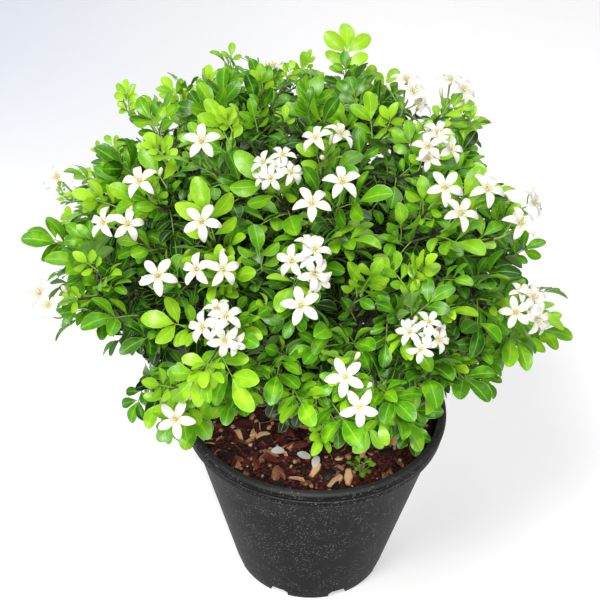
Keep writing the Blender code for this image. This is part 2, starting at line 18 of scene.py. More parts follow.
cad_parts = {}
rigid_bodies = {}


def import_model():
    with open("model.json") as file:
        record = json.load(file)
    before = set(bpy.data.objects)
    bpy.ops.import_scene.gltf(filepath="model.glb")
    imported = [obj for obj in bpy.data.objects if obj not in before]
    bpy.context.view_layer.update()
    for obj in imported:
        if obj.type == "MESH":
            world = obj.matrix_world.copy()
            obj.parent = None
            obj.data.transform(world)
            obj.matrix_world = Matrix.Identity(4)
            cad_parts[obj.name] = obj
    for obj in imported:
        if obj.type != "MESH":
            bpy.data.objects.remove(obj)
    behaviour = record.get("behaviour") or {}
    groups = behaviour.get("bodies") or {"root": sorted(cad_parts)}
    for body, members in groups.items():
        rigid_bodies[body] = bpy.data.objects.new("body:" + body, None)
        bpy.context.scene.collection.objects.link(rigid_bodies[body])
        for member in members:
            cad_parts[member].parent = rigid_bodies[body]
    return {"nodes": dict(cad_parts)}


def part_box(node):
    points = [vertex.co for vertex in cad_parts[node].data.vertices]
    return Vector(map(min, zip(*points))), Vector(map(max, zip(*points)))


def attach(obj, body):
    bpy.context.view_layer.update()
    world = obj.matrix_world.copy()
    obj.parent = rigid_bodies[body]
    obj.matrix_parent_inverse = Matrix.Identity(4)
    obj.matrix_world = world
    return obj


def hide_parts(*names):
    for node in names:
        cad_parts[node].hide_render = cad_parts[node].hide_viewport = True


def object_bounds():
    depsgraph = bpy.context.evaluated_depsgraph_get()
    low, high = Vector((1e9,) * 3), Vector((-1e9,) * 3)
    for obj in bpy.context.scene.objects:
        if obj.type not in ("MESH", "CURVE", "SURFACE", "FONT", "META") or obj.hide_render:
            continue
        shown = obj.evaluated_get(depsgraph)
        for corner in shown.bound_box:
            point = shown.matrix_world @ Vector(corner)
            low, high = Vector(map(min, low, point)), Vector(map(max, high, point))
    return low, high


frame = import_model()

bl_info = {
    "name": "Potted Orange Jasmine",
    "version": (1, 0, 0),
    "blender": (4, 5, 0),
    "location": "3D View > Sidebar > Jasmine",
    "description": "Dresses a packed orange jasmine with leaves, blooms, stems, husk mix, pot and stage",
    "category": "Object",
}

BODY = "root"
UP = Vector((0, 0, 1))
GOLDEN_TURN = math.pi * (3 - math.sqrt(5))
CAD_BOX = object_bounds()

# Pot
POT_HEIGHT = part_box("pot")[1].z
RIM_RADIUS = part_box("pot")[1].x
RIM_BAND = 0.017
RIM_LIP = 0.0045
WALL = 0.0026
SHOULDER_RADIUS = 0.1275
FOOT_RADIUS = 0.081
POT_FLOOR = 0.004
WALL_RINGS = (0.012, 0.05, 0.10, 0.15)
CREASE_ANGLE = math.radians(38.0)
NOTCHES = 8
NOTCH_WIDTH = 0.020
NOTCH_HEIGHT = 0.009
NOTCH_TURN = math.radians(22.0)

# Growing mix and its husk chips
MIX_LEVEL = 0.184
MIX_RELIEF = 0.0030
MIX_SIDES = 16
MIX_RINGS = (0.108, 0.088, 0.064, 0.040, 0.020)
CHIPS = 13
CHIP_LENGTH = 0.025
CHIP_THICKNESS = 0.0064
CHIP_LIFT = (0.0005, 0.0025)
CHIP_NEAREST = 0.028
CHIP_SPAN = 0.078
TRUNK_HOLE_RADIUS = 0.0086
TRUNK_HOLE_FLOOR = 0.128
MIX_STEPS = 46
MIX_TURNS = 112
MIX_GRAIN = ((190.0, 0.0016), (480.0, 0.0008))
MIX_CREASE = math.radians(60.0)
CHIP_CREASE = math.radians(35.0)
CHIP_SHAPES = (0, 0, 1, 1, 1, 2)
CRUMB_SHAPE = 3
CHIP_TINTS = (0.05, 0.2, 0.35, 0.42, 0.5, 0.62, 0.8, 1.0)
EDGE_ROOM = 0.004
FIBRE_STEPS = 6
FIBRE_RADII = (0.00038, 0.00022)

# Woody parts
GAP = 0.0003
TRUNK_RADIUS = 0.0080
FORK_HEIGHT = 0.208
MAIN_STEMS = 6
MAIN_STEM_RADIUS = 0.0042
MAIN_STEM_SPREAD = 0.045
MAIN_STEM_RISE = 0.062
LEADER_RISE = 0.085
BRANCH_RADIUS = 0.0027
TWIG_RADIUS = 0.0015
STUB_LENGTH = 0.012

# Crown: an upright ellipsoid that the leaf tips fill
CROWN_CENTRE = Vector((-0.022, 0.0, 0.378))
CROWN_RADII = Vector((0.262, 0.252, 0.184))
SPRAYS = 24
SPRAY_LOWEST = -0.62
HUB_DEPTH = 0.50
FILL_SHOOTS = 36
FILL_LOWEST = -0.72
FILL_CLEARANCE = 0.072
SEED = 41

# Leaves: a solid leaflet's outline is (share of its length, share of its width, rise)
LEAFLET_LENGTH = 0.037
LEAFLET_WIDTH = 0.58
LEAFLET_OUTLINE = ((0.40, -0.36, 0.10), (0.80, -0.47, 0.09), (1.0, 0.0, -0.07),
                   (0.80, 0.47, 0.09), (0.40, 0.36, 0.10))
FIRST_PAIR = 0.013
PAIR_STEP = 0.0145
LEAFLET_FOOT = 0.0024
LEAF_REACH = 0.057
BLADE = 0.0010
RIB_HALF = 0.0009
LEAF_AT_TIP = 0.985
LEAF_NEAR_BLOOM = 0.80
LEAF_LOWER = 0.55
LEAVES_IN_ALL = 40
TWO_PAIRS = 0.4

# Flowers: a solid petal's outline is (share of the radius, turn in degrees, rise)
PETALS = 5
PETAL_OUTLINE = ((0.20, -36.0, -0.02), (0.62, -21.0, 0.16), (1.0, 0.0, 0.02), (0.62, 21.0, 0.16))
PETAL_BLADE = 0.0009
FLOWER_RADIUS = {1: 0.0165, 2: 0.0150, 3: 0.0145, 4: 0.0120}
FLOWER_SPREAD = {1: 0.0, 2: 0.0150, 3: 0.0172, 4: 0.0180}
STALK_LENGTH = 0.030
STALK_RADIUS = 0.0010

# Fine flowers: how they close up, and the order of their shapes
CLUSTER_SHARE = 0.64
SHORT_STALK = 0.5
STRAY_BLOOM = 26.0
STALK_AGE = 0.12
PETAL_STATIONS = (0.08, 0.25, 0.48, 0.70, 0.87, 0.96)
PETAL_MODELS = ((0.24, 0.02), (0.36, -0.04), (0.14, 0.05))
PETAL_THICKNESS = 0.030
HEART_SHAPE, STAMEN_SHAPE, BUD_SHAPE, CALYX_SHAPE = 3, 4, 5, 6
# The small parts of a flower: each a name, its sides and its (place along, radius, hue) points
FLOWER_PARTS = (
    ("heart", 6, ((0.0, 0.0, 0.6), (0.02, 0.13, 0.6), (0.10, 0.14, 0.55), (0.18, 0.07, 0.7),
                  (0.62, 0.030, 0.45), (0.70, 0.062, 0.5), (0.76, 0.0, 0.5))),
    ("stamen", 4, ((0.0, 0.0, 0.0), (0.02, 0.028, 0.0), (0.76, 0.020, 0.05), (0.80, 0.070, 0.5),
                   (0.93, 0.075, 0.5), (1.0, 0.0, 0.45))),
    ("bud", 7, ((0.0, 0.0, 1.0), (0.03, 0.10, 1.0), (0.14, 0.13, 0.9), (0.32, 0.15, 0.35),
                (0.62, 0.20, 0.12), (0.84, 0.15, 0.15), (1.0, 0.0, 0.3))),
    ("calyx", 7, ((-0.35, 0.0, 1.0), (-0.20, 0.20, 1.0), (0.10, 0.36, 1.0), (0.62, 0.50, 0.8),
                  (0.86, 0.34, 0.2), (0.9, 0.0, 0.2))),
)
DROPPED_PETAL = (0.0150, 0.0165, 0.0045)
WEED_LEAVES = 11

# The photograph's camera: where it stands, how it looks, and its focal length in pixels
PHOTO_EYE = Vector((-0.018, -0.934, 1.014))
PHOTO_PITCH = math.radians(36.0)
PHOTO_ROLL = math.radians(1.6)
PHOTO_FOCAL = 1200.0
PHOTO_MIDDLE = 300.0
SENSOR = 36.0

# Where each bloom shows in the photograph (pixels), its flowers, and how far it turns to the camera
PHOTO_BLOOMS = (
    (202, 142, 1, 0.7), (140, 182, 1, 0.3), (58, 178, 1, 0.0), (116, 224, 2, 0.6), (202, 222, 1, 0.7),
    (158, 276, 1, 0.7), (210, 270, 2, 0.7), (277, 168, 4, 0.5), (328, 138, 2, 0.1), (342, 183, 1, 0.2),
    (312, 204, 1, 0.3), (307, 262, 3, 0.7), (301, 306, 1, 0.7), (218, 328, 3, 0.6), (345, 377, 1, 0.8),
    (359, 407, 1, 0.3), (176, 419, 1, 0.7), (424, 336, 4, 0.5), (46, 299, 2, 0.0), (438, 144, 3, 0.2),
    (409, 88, 2, 0.0), (456, 87, 2, 0.0), (445, 188, 1, 0.7), (487, 190, 1, 0.4), (460, 214, 1, 0.2),
    (520, 224, 1, 0.4), (528, 310, 3, 0.5),
)
# Where the tips of the longer leafy shoots show in the photograph (pixels)
PHOTO_SHOOTS = (
    (355, 16), (258, 40), (312, 62), (205, 72), (131, 88), (112, 143), (58, 150), (14, 234), (44, 262),
    (88, 318), (122, 338), (145, 398), (166, 452), (214, 428), (488, 128), (519, 262), (580, 350),
    (492, 392), (455, 392), (404, 428), (340, 448), (293, 430), (280, 372), (345, 330),
)
# Blooms on the side that the photograph doesn't show: bearing in degrees, height share, flowers
BACK_BLOOMS = ((60, 0.35, 1), (100, 0.75, 1), (128, 0.20, 2), (20, 0.15, 1))
# Where dropped petals and a small weed show on the mix in the photograph (pixels)
PHOTO_DROPPED = ((279, 457), (305, 462), (315, 468))
PHOTO_WEED = (361, 473)
# Where small upright sprigs break the crown's top outline in the photograph (pixels)
PHOTO_SPRIGS = ((258, 40), (205, 66), (230, 46), (308, 54), (288, 64), (182, 74), (122, 82), (158, 86),
                (404, 86), (436, 92), (472, 104), (98, 138), (60, 176))

# Fine foliage between the solid leaves
FOLIAGE_SEED = 7
# Each layer: shoots tried, their depth range, and how much darker its leaves are made, partly as older leaves
# and partly as painted shade deeper in the crown
SHOOT_LAYERS = ((620, (0.86, 1.00), 1.0), (300, (0.66, 0.78), 1.15), (120, (0.42, 0.56), 1.35))
SHOOT_LOWEST = -0.80
LEAF_STEP = 0.0062
LEAF_ATTEMPTS = 6
LEAF_SCALES = (0.46, 0.90)
LEAF_SCALE_LOW, LEAF_SCALE_HIGH = 0.92, 0.70
LEAF_PAIRS = (1, 2, 2, 2, 3)
LEAFLET_STATIONS = (0.08, 0.23, 0.42, 0.62, 0.80, 0.93, 0.985)
LEAFLET_MODELS = ((0.16, 0.05, 0.00), (0.30, 0.02, 0.06), (0.06, 0.16, -0.06), (0.48, 0.10, 0.03),
                  (0.22, 0.26, -0.03))
LEAFLET_THICKNESS = 0.016
RIB_RADIUS = 0.00055
FINE_STEPS = 7
SHOOT_TIP = 0.99
TWIG_STATIONS = (0.1, 0.35, 0.55, 0.75)
LEAST_SHOOT = 0.014
# How dark a leaf grows: least at the crown's surface, more with its depth (real ageing and painted shade),
# down its shoot (ageing) and low under the crown (painted shade)
AGE_LEAST = 0.13
AGE_AND_SHADE_BY_DEPTH, DARKEST_DEPTH = 0.92, 0.55
AGE_BY_ORDER = 0.02
SHADE_UNDER_CROWN = 0.14
# Upright sprigs: how far from the camera to look for their places, and their size
SPRIG_NEAREST, SPRIG_SEARCH_STEP, SPRIG_SEARCH_STEPS = 0.80, 0.01, 60
SPRIG_TOP = 0.550
SPRIG_LIFT = 0.018
SPRIG_LEAVES = 7
SPRIG_SCALE = 0.66
SPRIG_SPARE = 0.30
BLOOM_SPARE = 0.03
# The one tall sprig keeps its size: its left, right and lowest pixel in the photograph
TALL_SPRIG = (330, 385, 90)
CROWN_LIMIT = 1.0
TUFT_RELIEF = 0.23
TUFT_SPACING = 2.7
BOX_MARGIN = 0.0012
KEEP_ABOVE = 0.214
MOST_PIECES = 8192
# The crown's measured outline in the photograph (pixels), clockwise from its top sprig
PHOTO_OUTLINE = (
    (348, 4), (380, 12), (386, 60), (412, 68), (430, 78), (466, 78), (478, 100), (496, 120),
    (490, 140), (482, 160), (505, 176), (536, 202), (534, 236), (524, 262), (530, 284), (566, 288),
    (590, 345), (572, 372), (545, 378), (518, 404), (494, 414), (470, 392), (448, 398), (442, 420),
    (428, 452), (404, 452), (396, 440), (380, 455), (345, 462), (318, 468), (312, 445), (286, 450),
    (262, 418), (240, 412), (210, 436), (200, 456), (166, 478), (130, 464), (142, 432), (132, 405),
    (110, 395), (146, 374), (140, 358), (98, 358), (90, 335), (62, 325), (30, 308), (20, 262),
    (6, 240), (18, 208), (28, 190), (56, 170), (88, 158), (92, 126), (112, 122), (112, 88),
    (124, 68), (160, 74), (192, 58), (215, 42), (262, 22), (285, 40), (310, 48), (318, 40),
    (316, 12),
)

# Stage: the floor's reach, its curve up into a wall, and the soft lamps (name, place, size and power)
FLOOR_HALF = 6.0
FLOOR_NEAR, FLOOR_FAR = -6.0, 2.6
BACKDROP_CURVE = 1.2
BACKDROP_HEIGHT = 5.0
CURVE_STEPS = 8
ROOM_COLOUR = (0.93, 0.95, 1.0, 1.0)
ROOM_STRENGTH = 0.19
LAMPS = (
    ("key", (-0.8, -1.4, 2.6), 0.8, 58.0),
    ("fill", (0.3, -2.3, 1.7), 0.8, 30.0),
    ("top", (0.2, 0.9, 2.4), 1.4, 16.0),
)
# A small lamp that reaches the mix under the leaves
MIX_LAMP_PLACE = (0.05, -1.3, 1.42)
MIX_LAMP_TARGET = (0.0, -0.075, MIX_LEVEL)
MIX_LAMP_CONE = math.radians(8.5)
MIX_LAMP_EDGE = 0.7
MIX_LAMP_RADIUS = 0.05
MIX_LAMP_POWER = 48.0


# Settings that a user would change

def colour_setting(name, description, default):
    return FloatVectorProperty(name=name, description=description, default=default, size=3,
                               min=0.0, max=1.0, subtype="COLOR")


class PotSettings(bpy.types.PropertyGroup):
    sides: IntProperty(name="Sides", description="Faces round the pot", default=128, min=32)
    rounding: FloatProperty(name="Rounding", description="Radius of the rim's moulded edges",
                            default=0.0007, min=0.0001, unit="LENGTH")
    colour: colour_setting("Plastic", "Colour of the moulded plastic", (0.0045, 0.0045, 0.0048))
    # The speckle colour also tints the painted highlights on the rim's edges.
    speckle: colour_setting("Speckle", "Colour of the dust and pale specks", (0.21, 0.21, 0.205))


class MixSettings(bpy.types.PropertyGroup):
    chips: IntProperty(name="Chips", description="Husk chips on the mix", default=360, min=0)
    crumbs: IntProperty(name="Crumbs", description="Small crumbs between the chips", default=700, min=0)
    fibres: IntProperty(name="Fibres", description="Loose husk fibres", default=90, min=0)
    chip_size: FloatProperty(name="Chip size", description="Length of a middling chip", default=0.013,
                             min=0.002, unit="LENGTH")
    # The dark husk colour also fills the painted shade between the crumbs.
    dark: colour_setting("Dark husk", "Colour of the dampest husk", (0.007, 0.0015, 0.001))
    red: colour_setting("Red husk", "Colour of most of the husk", (0.18, 0.021, 0.008))
    tan: colour_setting("Tan flakes", "Colour of the dry flakes", (0.90, 0.55, 0.28))


class FoliageSettings(bpy.types.PropertyGroup):
    spacing: FloatProperty(name="Shoot spacing", description="Least distance between shoot tips",
                           default=0.030, min=0.01, unit="LENGTH")
    leaves: IntProperty(name="Leaves on a shoot", description="Leaves grown down each shoot from its tip",
                        default=10, min=1)
    young: colour_setting("Young leaf", "Colour of the newest leaves", (0.36, 0.66, 0.018))
    grown: colour_setting("Grown leaf", "Colour of most leaves", (0.098, 0.335, 0.004))
    old: colour_setting("Old leaf", "Colour of the oldest leaves", (0.010, 0.070, 0.002))


class BloomSettings(bpy.types.PropertyGroup):
    stamens: IntProperty(name="Stamens", description="Stamens in each flower", default=10, min=0)
    petal: colour_setting("Petal", "Colour of the petals", (0.76, 0.745, 0.69))
    heart: colour_setting("Heart", "Colour of the anthers and the petals' feet", (0.86, 0.72, 0.30))
    green: colour_setting("Calyx", "Colour of the calyx and the youngest buds", (0.36, 0.52, 0.12))


class StageSettings(bpy.types.PropertyGroup):
    floor: colour_setting("Floor", "Colour of the floor and backdrop", (0.80, 0.79, 0.79))
    light: FloatProperty(name="Light", description="Strength of the soft lights", default=1.0, min=0.0)


SETTINGS = {
    "jasmine_pot": PotSettings,
    "jasmine_mix": MixSettings,
    "jasmine_foliage": FoliageSettings,
    "jasmine_bloom": BloomSettings,
    "jasmine_stage": StageSettings,
}


# Shader maths

class Value:
    """A number in a material's nodes, so that shader maths reads as plain expressions."""

    def __init__(self, tree, socket):
        self.tree = tree
        self.socket = socket

    def maths(self, operation, *terms):
        node = self.tree.nodes.new("ShaderNodeMath")
        node.operation = operation
        for entry, term in zip(node.inputs, terms):
            if isinstance(term, Value):
                self.tree.links.new(term.socket, entry)
            else:
                entry.default_value = term
        return Value(self.tree, node.outputs[0])

    def __add__(self, other):
        return self.maths("ADD", self, other)

    def __radd__(self, other):
        return self.maths("ADD", other, self)

    def __sub__(self, other):
        return self.maths("SUBTRACT", self, other)

    def __rsub__(self, other):
        return self.maths("SUBTRACT", other, self)

    def __mul__(self, other):
        return self.maths("MULTIPLY", self, other)

    def __rmul__(self, other):
        return self.maths("MULTIPLY", other, self)

    def size(self):
        return self.maths("ABSOLUTE", self)

    def wave(self):
        return self.maths("SINE", self)


class Finish:
    """A material made of expressions. Its constants are set straight on the Principled shader."""

    def __init__(self, name, constants=None):
        self.material = bpy.data.materials.new(name)
        self.material.use_nodes = True
        self.tree = self.material.node_tree
        self.shader = self.tree.nodes["Principled BSDF"]
        for socket, value in (constants or {}).items():
            self.shader.inputs[socket].default_value = value

    def node(self, kind, settings=None, sockets=None, output=0):
        """Adds one node: its settings first, then a value or a link for each socket."""
        made = self.tree.nodes.new(kind)
        for name, value in (settings or {}).items():
            if name == "stops":
                self.set_stops(made.color_ramp, value)
            else:
                setattr(made, name, value)
        for name, value in (sockets or {}).items():
            self.feed(made.inputs[name], value)
        return Value(self.tree, made.outputs[output])

    def feed(self, entry, value):
        if isinstance(value, Value):
            self.tree.links.new(value.socket, entry)
        else:
            entry.default_value = value

    def set_stops(self, ramp, stops):
        while len(ramp.elements) < len(stops):
            ramp.elements.new(1.0)
        for element, (position, colour) in zip(ramp.elements, stops):
            element.position = position
            element.color = (*colour[:3], 1.0)

    def attribute(self, name):
        return self.node("ShaderNodeAttribute", {"attribute_name": name}, output=2)

    def noise(self, scale, detail=3.0, roughness=0.5, where=None):
        sockets = {"Scale": scale, "Detail": detail, "Roughness": roughness}
        sockets["Vector"] = where or self.place()
        return self.node("ShaderNodeTexNoise", {}, sockets)

    def place(self):
        """The surface's own place in metres."""
        return self.node("ShaderNodeTexCoord", output=3)

    def stretched(self, scale):
        """The surface's own place, scaled along each axis."""
        return self.node("ShaderNodeMapping", {}, {"Vector": self.place(), "Scale": scale})

    def parts(self, vector):
        """The three numbers of a vector."""
        split = self.node("ShaderNodeSeparateXYZ", {}, {"Vector": vector})
        return [Value(self.tree, socket) for socket in split.socket.node.outputs]

    def along_and_across(self):
        """A blade's own UV map: 0 to 1 along it, and -1 to 1 across it."""
        along, across, _ = self.parts(self.node("ShaderNodeUVMap", {"uv_map": "UVMap"}))
        return along, across * 2 - 1

    def ramp(self, factor, stops):
        return self.node("ShaderNodeValToRGB", {"stops": stops}, {"Fac": factor})

    def step(self, value, low, high):
        """0 below low, 1 above high, and smooth between."""
        return self.node("ShaderNodeMapRange", {"interpolation_type": "SMOOTHSTEP"},
                         {"Value": value, "From Min": low, "From Max": high})

    def mix(self, factor, first, second):
        """A mix of two colours, each a value from a socket or a plain colour."""
        made = self.tree.nodes.new("ShaderNodeMix")
        made.data_type = "RGBA"
        for index, value in ((0, factor), (6, first), (7, second)):
            if not isinstance(value, (Value, float)):
                value = (*value[:3], 1.0)
            self.feed(made.inputs[index], value)
        return Value(self.tree, made.outputs[2])

    def finish(self, colour, roughness=None, height=None, strength=0.5, distance=0.001):
        """Links the varying values to the shader and gives the material."""
        self.feed(self.shader.inputs["Base Color"], colour)
        if roughness is not None:
            self.feed(self.shader.inputs["Roughness"], roughness)
        if height is not None:
            sockets = {"Strength": strength, "Distance": distance, "Height": height}
            self.feed(self.shader.inputs["Normal"], self.node("ShaderNodeBump", {}, sockets))
        return self.material


# Finishes

def colours(settings, *names):
    """Some of the settings' colours as plain numbers."""
    return [tuple(getattr(settings, name)) for name in names]


def toned(colour, share):
    """A colour darkened to a share of itself."""
    return tuple(share * part for part in colour)


@functools.cache
def leaf_finish():
    """Glossy leaf: lime when young, dark when old and darker still in painted shade deep in and under the
    crown, with painted lime highlight blotches and a lighter middle, a pale midrib, veins and a thin pale
    margin.
    """
    young, grown, old = colours(bpy.context.scene.jasmine_foliage, "young", "grown", "old")
    finish = Finish("leaf", {"Specular IOR Level": 0.32, "Coat Weight": 0.10, "Coat Roughness": 0.25})
    along, across = finish.along_and_across()
    # The leaf's darkness: its ageing, and painted shade deep in and under the crown.
    age = finish.attribute("age")
    tint = finish.attribute("tint")
    mottle = finish.noise(260.0)
    shade = age + (tint - 0.5) * 0.22 + (mottle - 0.5) * 0.16
    # The darkest stop is painted shade for the deepest leaves.
    deep_shade = toned(old, 0.16)
    side = across.size()
    # Painted highlights: lime blotches where light would catch the leaf, and each leaflet lighter along its
    # middle.
    blotch = finish.noise(70.0, 2.0)
    shade = shade - (1.0 - side) * 0.10 - (finish.step(blotch, 0.50, 0.68) - 0.3) * 0.16
    base = finish.ramp(shade, ((0.0, young), (0.38, grown), (0.66, old), (0.88, deep_shade)))
    midrib = 1.0 - finish.step(side, 0.02, 0.11)
    margin = finish.step(side, 0.86, 0.98)
    pale = finish.mix(0.6, base, (0.50, 0.78, 0.12))
    base = finish.mix(midrib * 0.85 * (1.0 - along * 0.5), base, pale)
    base = finish.mix(margin * 0.50, base, pale)
    foot = 1.0 - finish.step(along, 0.0, 0.30)
    base = finish.mix(foot * 0.30, base, young)
    veins = ((along - side * 0.22) * 60.0).wave()
    under = finish.attribute("under")
    base = finish.mix(under * 0.45, base, (0.24, 0.42, 0.10))
    roughness = 0.25 + mottle * 0.14 + under * 0.25
    height = veins * 0.10 * (1.0 - margin) - midrib * 0.8 + mottle * 0.6
    return finish.finish(base, roughness, height, strength=0.35, distance=0.0006)


@functools.cache
def petal_finish():
    """White petals with a cream foot and faint lines. A hue turns them into anthers and green calyxes."""
    petal, heart, green = colours(bpy.context.scene.jasmine_bloom, "petal", "heart", "green")
    finish = Finish("petal", {"Subsurface Weight": 0.10, "Subsurface Scale": 0.001,
                              "Subsurface Radius": (1.0, 1.0, 0.8)})
    along, across = finish.along_and_across()
    hue = finish.attribute("hue")
    tint = finish.attribute("tint")
    grain = finish.noise(900.0)
    base = finish.ramp(hue, ((0.0, petal), (0.5, heart), (1.0, green)))
    foot = (1.0 - finish.step(along, 0.05, 0.45)) * (1.0 - finish.step(hue, 0.0, 0.2))
    base = finish.mix(foot * 0.45, base, (0.90, 0.86, 0.52))
    lines = finish.step((across * 16.0).wave(), 0.6, 1.0)
    base = finish.mix(lines * 0.24, base, (0.62, 0.58, 0.46))
    base = finish.mix(tint * 0.16, base, (0.86, 0.80, 0.62))
    height = lines * -0.6 + grain * 0.5
    return finish.finish(base, 0.42 + grain * 0.15, height, strength=0.3, distance=0.0004)


@functools.cache
def twig_finish():
    """Green leaf ribs that brown into twigs as they grow old, with pores along them. A leaf's rib also
    carries a share of the leaf's painted shade.
    """
    finish = Finish("twig")
    age = finish.attribute("age")
    pores = finish.noise(900.0, 2.0)
    grain = finish.noise(220.0)
    shade = age + (grain - 0.5) * 0.25
    base = finish.ramp(shade, ((0.0, (0.30, 0.50, 0.08)), (0.35, (0.13, 0.22, 0.05)),
                               (0.7, (0.042, 0.034, 0.020)), (1.0, (0.050, 0.036, 0.026))))
    base = finish.mix(finish.step(pores, 0.62, 0.72) * 0.5, base, (0.30, 0.26, 0.18))
    return finish.finish(base, 0.5 + grain * 0.25, pores + grain, strength=0.5, distance=0.0004)


@functools.cache
def bark_finish():
    """Grey-brown bark, cracked along the stem, with pale lichen flecks."""
    finish = Finish("bark")
    cracks = finish.noise(1.0, 5.0, 0.65, where=finish.stretched((420.0, 420.0, 60.0)))
    patches = finish.noise(90.0)
    base = finish.ramp(cracks, ((0.30, (0.016, 0.011, 0.008)), (0.5, (0.065, 0.047, 0.033)),
                                (0.72, (0.17, 0.135, 0.10))))
    base = finish.mix(finish.step(patches, 0.58, 0.70) * 0.5, base, (0.30, 0.29, 0.22))
    return finish.finish(base, 0.72 + patches * 0.2, cracks, strength=0.8, distance=0.0008)


@functools.cache
def pot_finish():
    """Matt black moulded plastic with dust specks, faint scuffs and a fine grain, painted highlights along
    the rim's edges mixed with real dust and wear, and painted shade in the rim band's groove.
    """
    plastic, speckle = colours(bpy.context.scene.jasmine_pot, "colour", "speckle")
    finish = Finish("pot_plastic", {"Specular IOR Level": 0.09})
    speck = finish.step(finish.noise(560.0, 2.0), 0.59, 0.66) * finish.step(finish.noise(60.0), 0.36, 0.56)
    height = finish.parts(finish.place())[2]

    def band(below_top, near, far):
        """1 round the pot at a height, 0 away from it."""
        return 1.0 - finish.step((height - (POT_HEIGHT - below_top)).size(), near, far)

    # The lip's top, the ridge and the shoulder line take painted highlights; the middle of the rim band takes
    # painted shade.
    lip = finish.step(height, POT_HEIGHT - 0.0032, POT_HEIGHT - 0.0008)
    ridge = band(RIM_BAND * 0.62, 0.0004, 0.0014)
    shoulder = band(RIM_BAND + 0.0012, 0.0004, 0.0016)
    shade = band(RIM_BAND * 0.50, 0.0008, 0.0020)
    dust = finish.noise(22.0, 6.0, 0.62)
    scuffs = finish.step(finish.noise(1.0, 4.0, 0.6, where=finish.stretched((90.0, 90.0, 8.0))), 0.56, 0.78)
    base = finish.mix(finish.step(dust, 0.42, 0.75) * 0.16, plastic, toned(speckle, 0.20))
    base = finish.mix(scuffs * 0.08, base, toned(speckle, 0.4))
    # Painted highlights on the rim's edges, mixed with real dust and wear.
    wear_and_highlight = (lip * 0.8 + ridge * 0.6 + shoulder * 0.5) * (0.25 + dust * 0.5)
    base = finish.mix(wear_and_highlight, base, toned(speckle, 0.55))
    base = finish.mix(speck * 0.60, base, speckle)
    # Painted shade: the groove in the rim band darkened almost to black.
    base = finish.mix(shade * 0.9, base, (0.002, 0.002, 0.002))
    grain = finish.noise(1500.0, 2.0)
    roughness = 0.42 + dust * 0.16 + speck * 0.2 - scuffs * 0.05
    return finish.finish(base, roughness, grain + speck, strength=0.22, distance=0.0003)


@functools.cache
def mix_finish():
    """Damp husk mix: dark, red-brown and a few tan flecks, with painted shade darkening the low gaps between
    crumbs.
    """
    dark, red, tan = colours(bpy.context.scene.jasmine_mix, "dark", "red", "tan")
    finish = Finish("husk_mix")
    sockets = {"Vector": finish.place(), "Scale": 330.0}
    crumbs = finish.node("ShaderNodeTexVoronoi", {"feature": "F1"}, sockets)
    blotch = finish.noise(150.0, 5.0, 0.6)
    base = finish.ramp(blotch, ((0.38, dark), (0.60, red), (0.90, tan)))
    # Painted shade: the low gaps between the crumbs' bumps are darkened.
    base = finish.mix(finish.step(crumbs, 0.30, 0.75) * 0.8, base, dark)
    return finish.finish(base, 0.62 + blotch * 0.3, 1.0 - crumbs, strength=0.9, distance=0.0025)


@functools.cache
def chip_finish():
    """Husk chips: each chip's tint picks dark, red or tan husk, with grain along it."""
    dark, red, tan = colours(bpy.context.scene.jasmine_mix, "dark", "red", "tan")
    rust = tuple(0.5 * (a + b) for a, b in zip(red, tan))
    finish = Finish("husk_chip", {"Coat Weight": 0.2, "Coat Roughness": 0.3})
    _, across = finish.along_and_across()
    grain = finish.noise(420.0, 4.0, 0.6)
    tint = finish.attribute("tint") + (grain - 0.5) * 0.35
    base = finish.ramp(tint, ((0.20, dark), (0.50, red), (0.78, rust), (0.94, tan)))
    fibres = finish.step((across * 22.0 + grain * 6.0).wave(), 0.1, 0.9)
    base = finish.mix(fibres * 0.2, base, dark)
    return finish.finish(base, 0.42 + grain * 0.3, fibres * 0.6 + grain, strength=0.6, distance=0.0008)


@functools.cache
def floor_finish():
    """Plain pale floor, with barely any change over it, darker and cooler at the far left as painted shade,
    and a steady glow of painted light that fills its shadows.
    """
    # The floor glows of itself: painted light that lifts it and washes out its shadows.
    finish = Finish("floor", {"Specular IOR Level": 0.2, "Emission Strength": 0.34})
    [tone] = colours(bpy.context.scene.jasmine_stage, "floor")
    cloud = finish.noise(3.0, 2.0)
    across, ahead, _ = finish.parts(finish.place())
    # Painted shade: darker and bluer towards the far left of the backdrop.
    far_left_shade = finish.step(across * -1.0, -0.2, 0.9) * finish.step(ahead, 0.2, 1.3)
    base = finish.mix(cloud, tone, toned(tone, 0.985))
    base = finish.mix(far_left_shade * 0.9, base, (0.46, 0.51, 0.60))
    return finish.finish(base, 0.62 + cloud * 0.05)


# Shared shapes

def clamped(value, low=0.0, high=1.0):
    return min(max(value, low), high)


def tapered(radius, *shares):
    """A stem's radii, each a share of one radius."""
    return [radius * share for share in shares]


def on_circle(turn, radius=1.0, height=0.0):
    """The point at a turn and a radius about the Z axis."""
    return Vector((radius * math.cos(turn), radius * math.sin(turn), height))


def swung(first, second, turn):
    """A direction turned from the first towards the second."""
    return first * math.cos(turn) + second * math.sin(turn)


def add_object(name, corners, faces, material):
    """A mesh object from corners and faces, linked to the scene."""
    mesh = bpy.data.meshes.new(name)
    mesh.from_pydata([tuple(corner) for corner in corners], [], faces)
    mesh.materials.append(material)
    item = bpy.data.objects.new(name, mesh)
    bpy.context.scene.collection.objects.link(item)
    return item


def shape_of(item):
    """An object's own corners and faces."""
    mesh = item.data
    return [corner.co.copy() for corner in mesh.vertices], [tuple(face.vertices) for face in mesh.polygons]


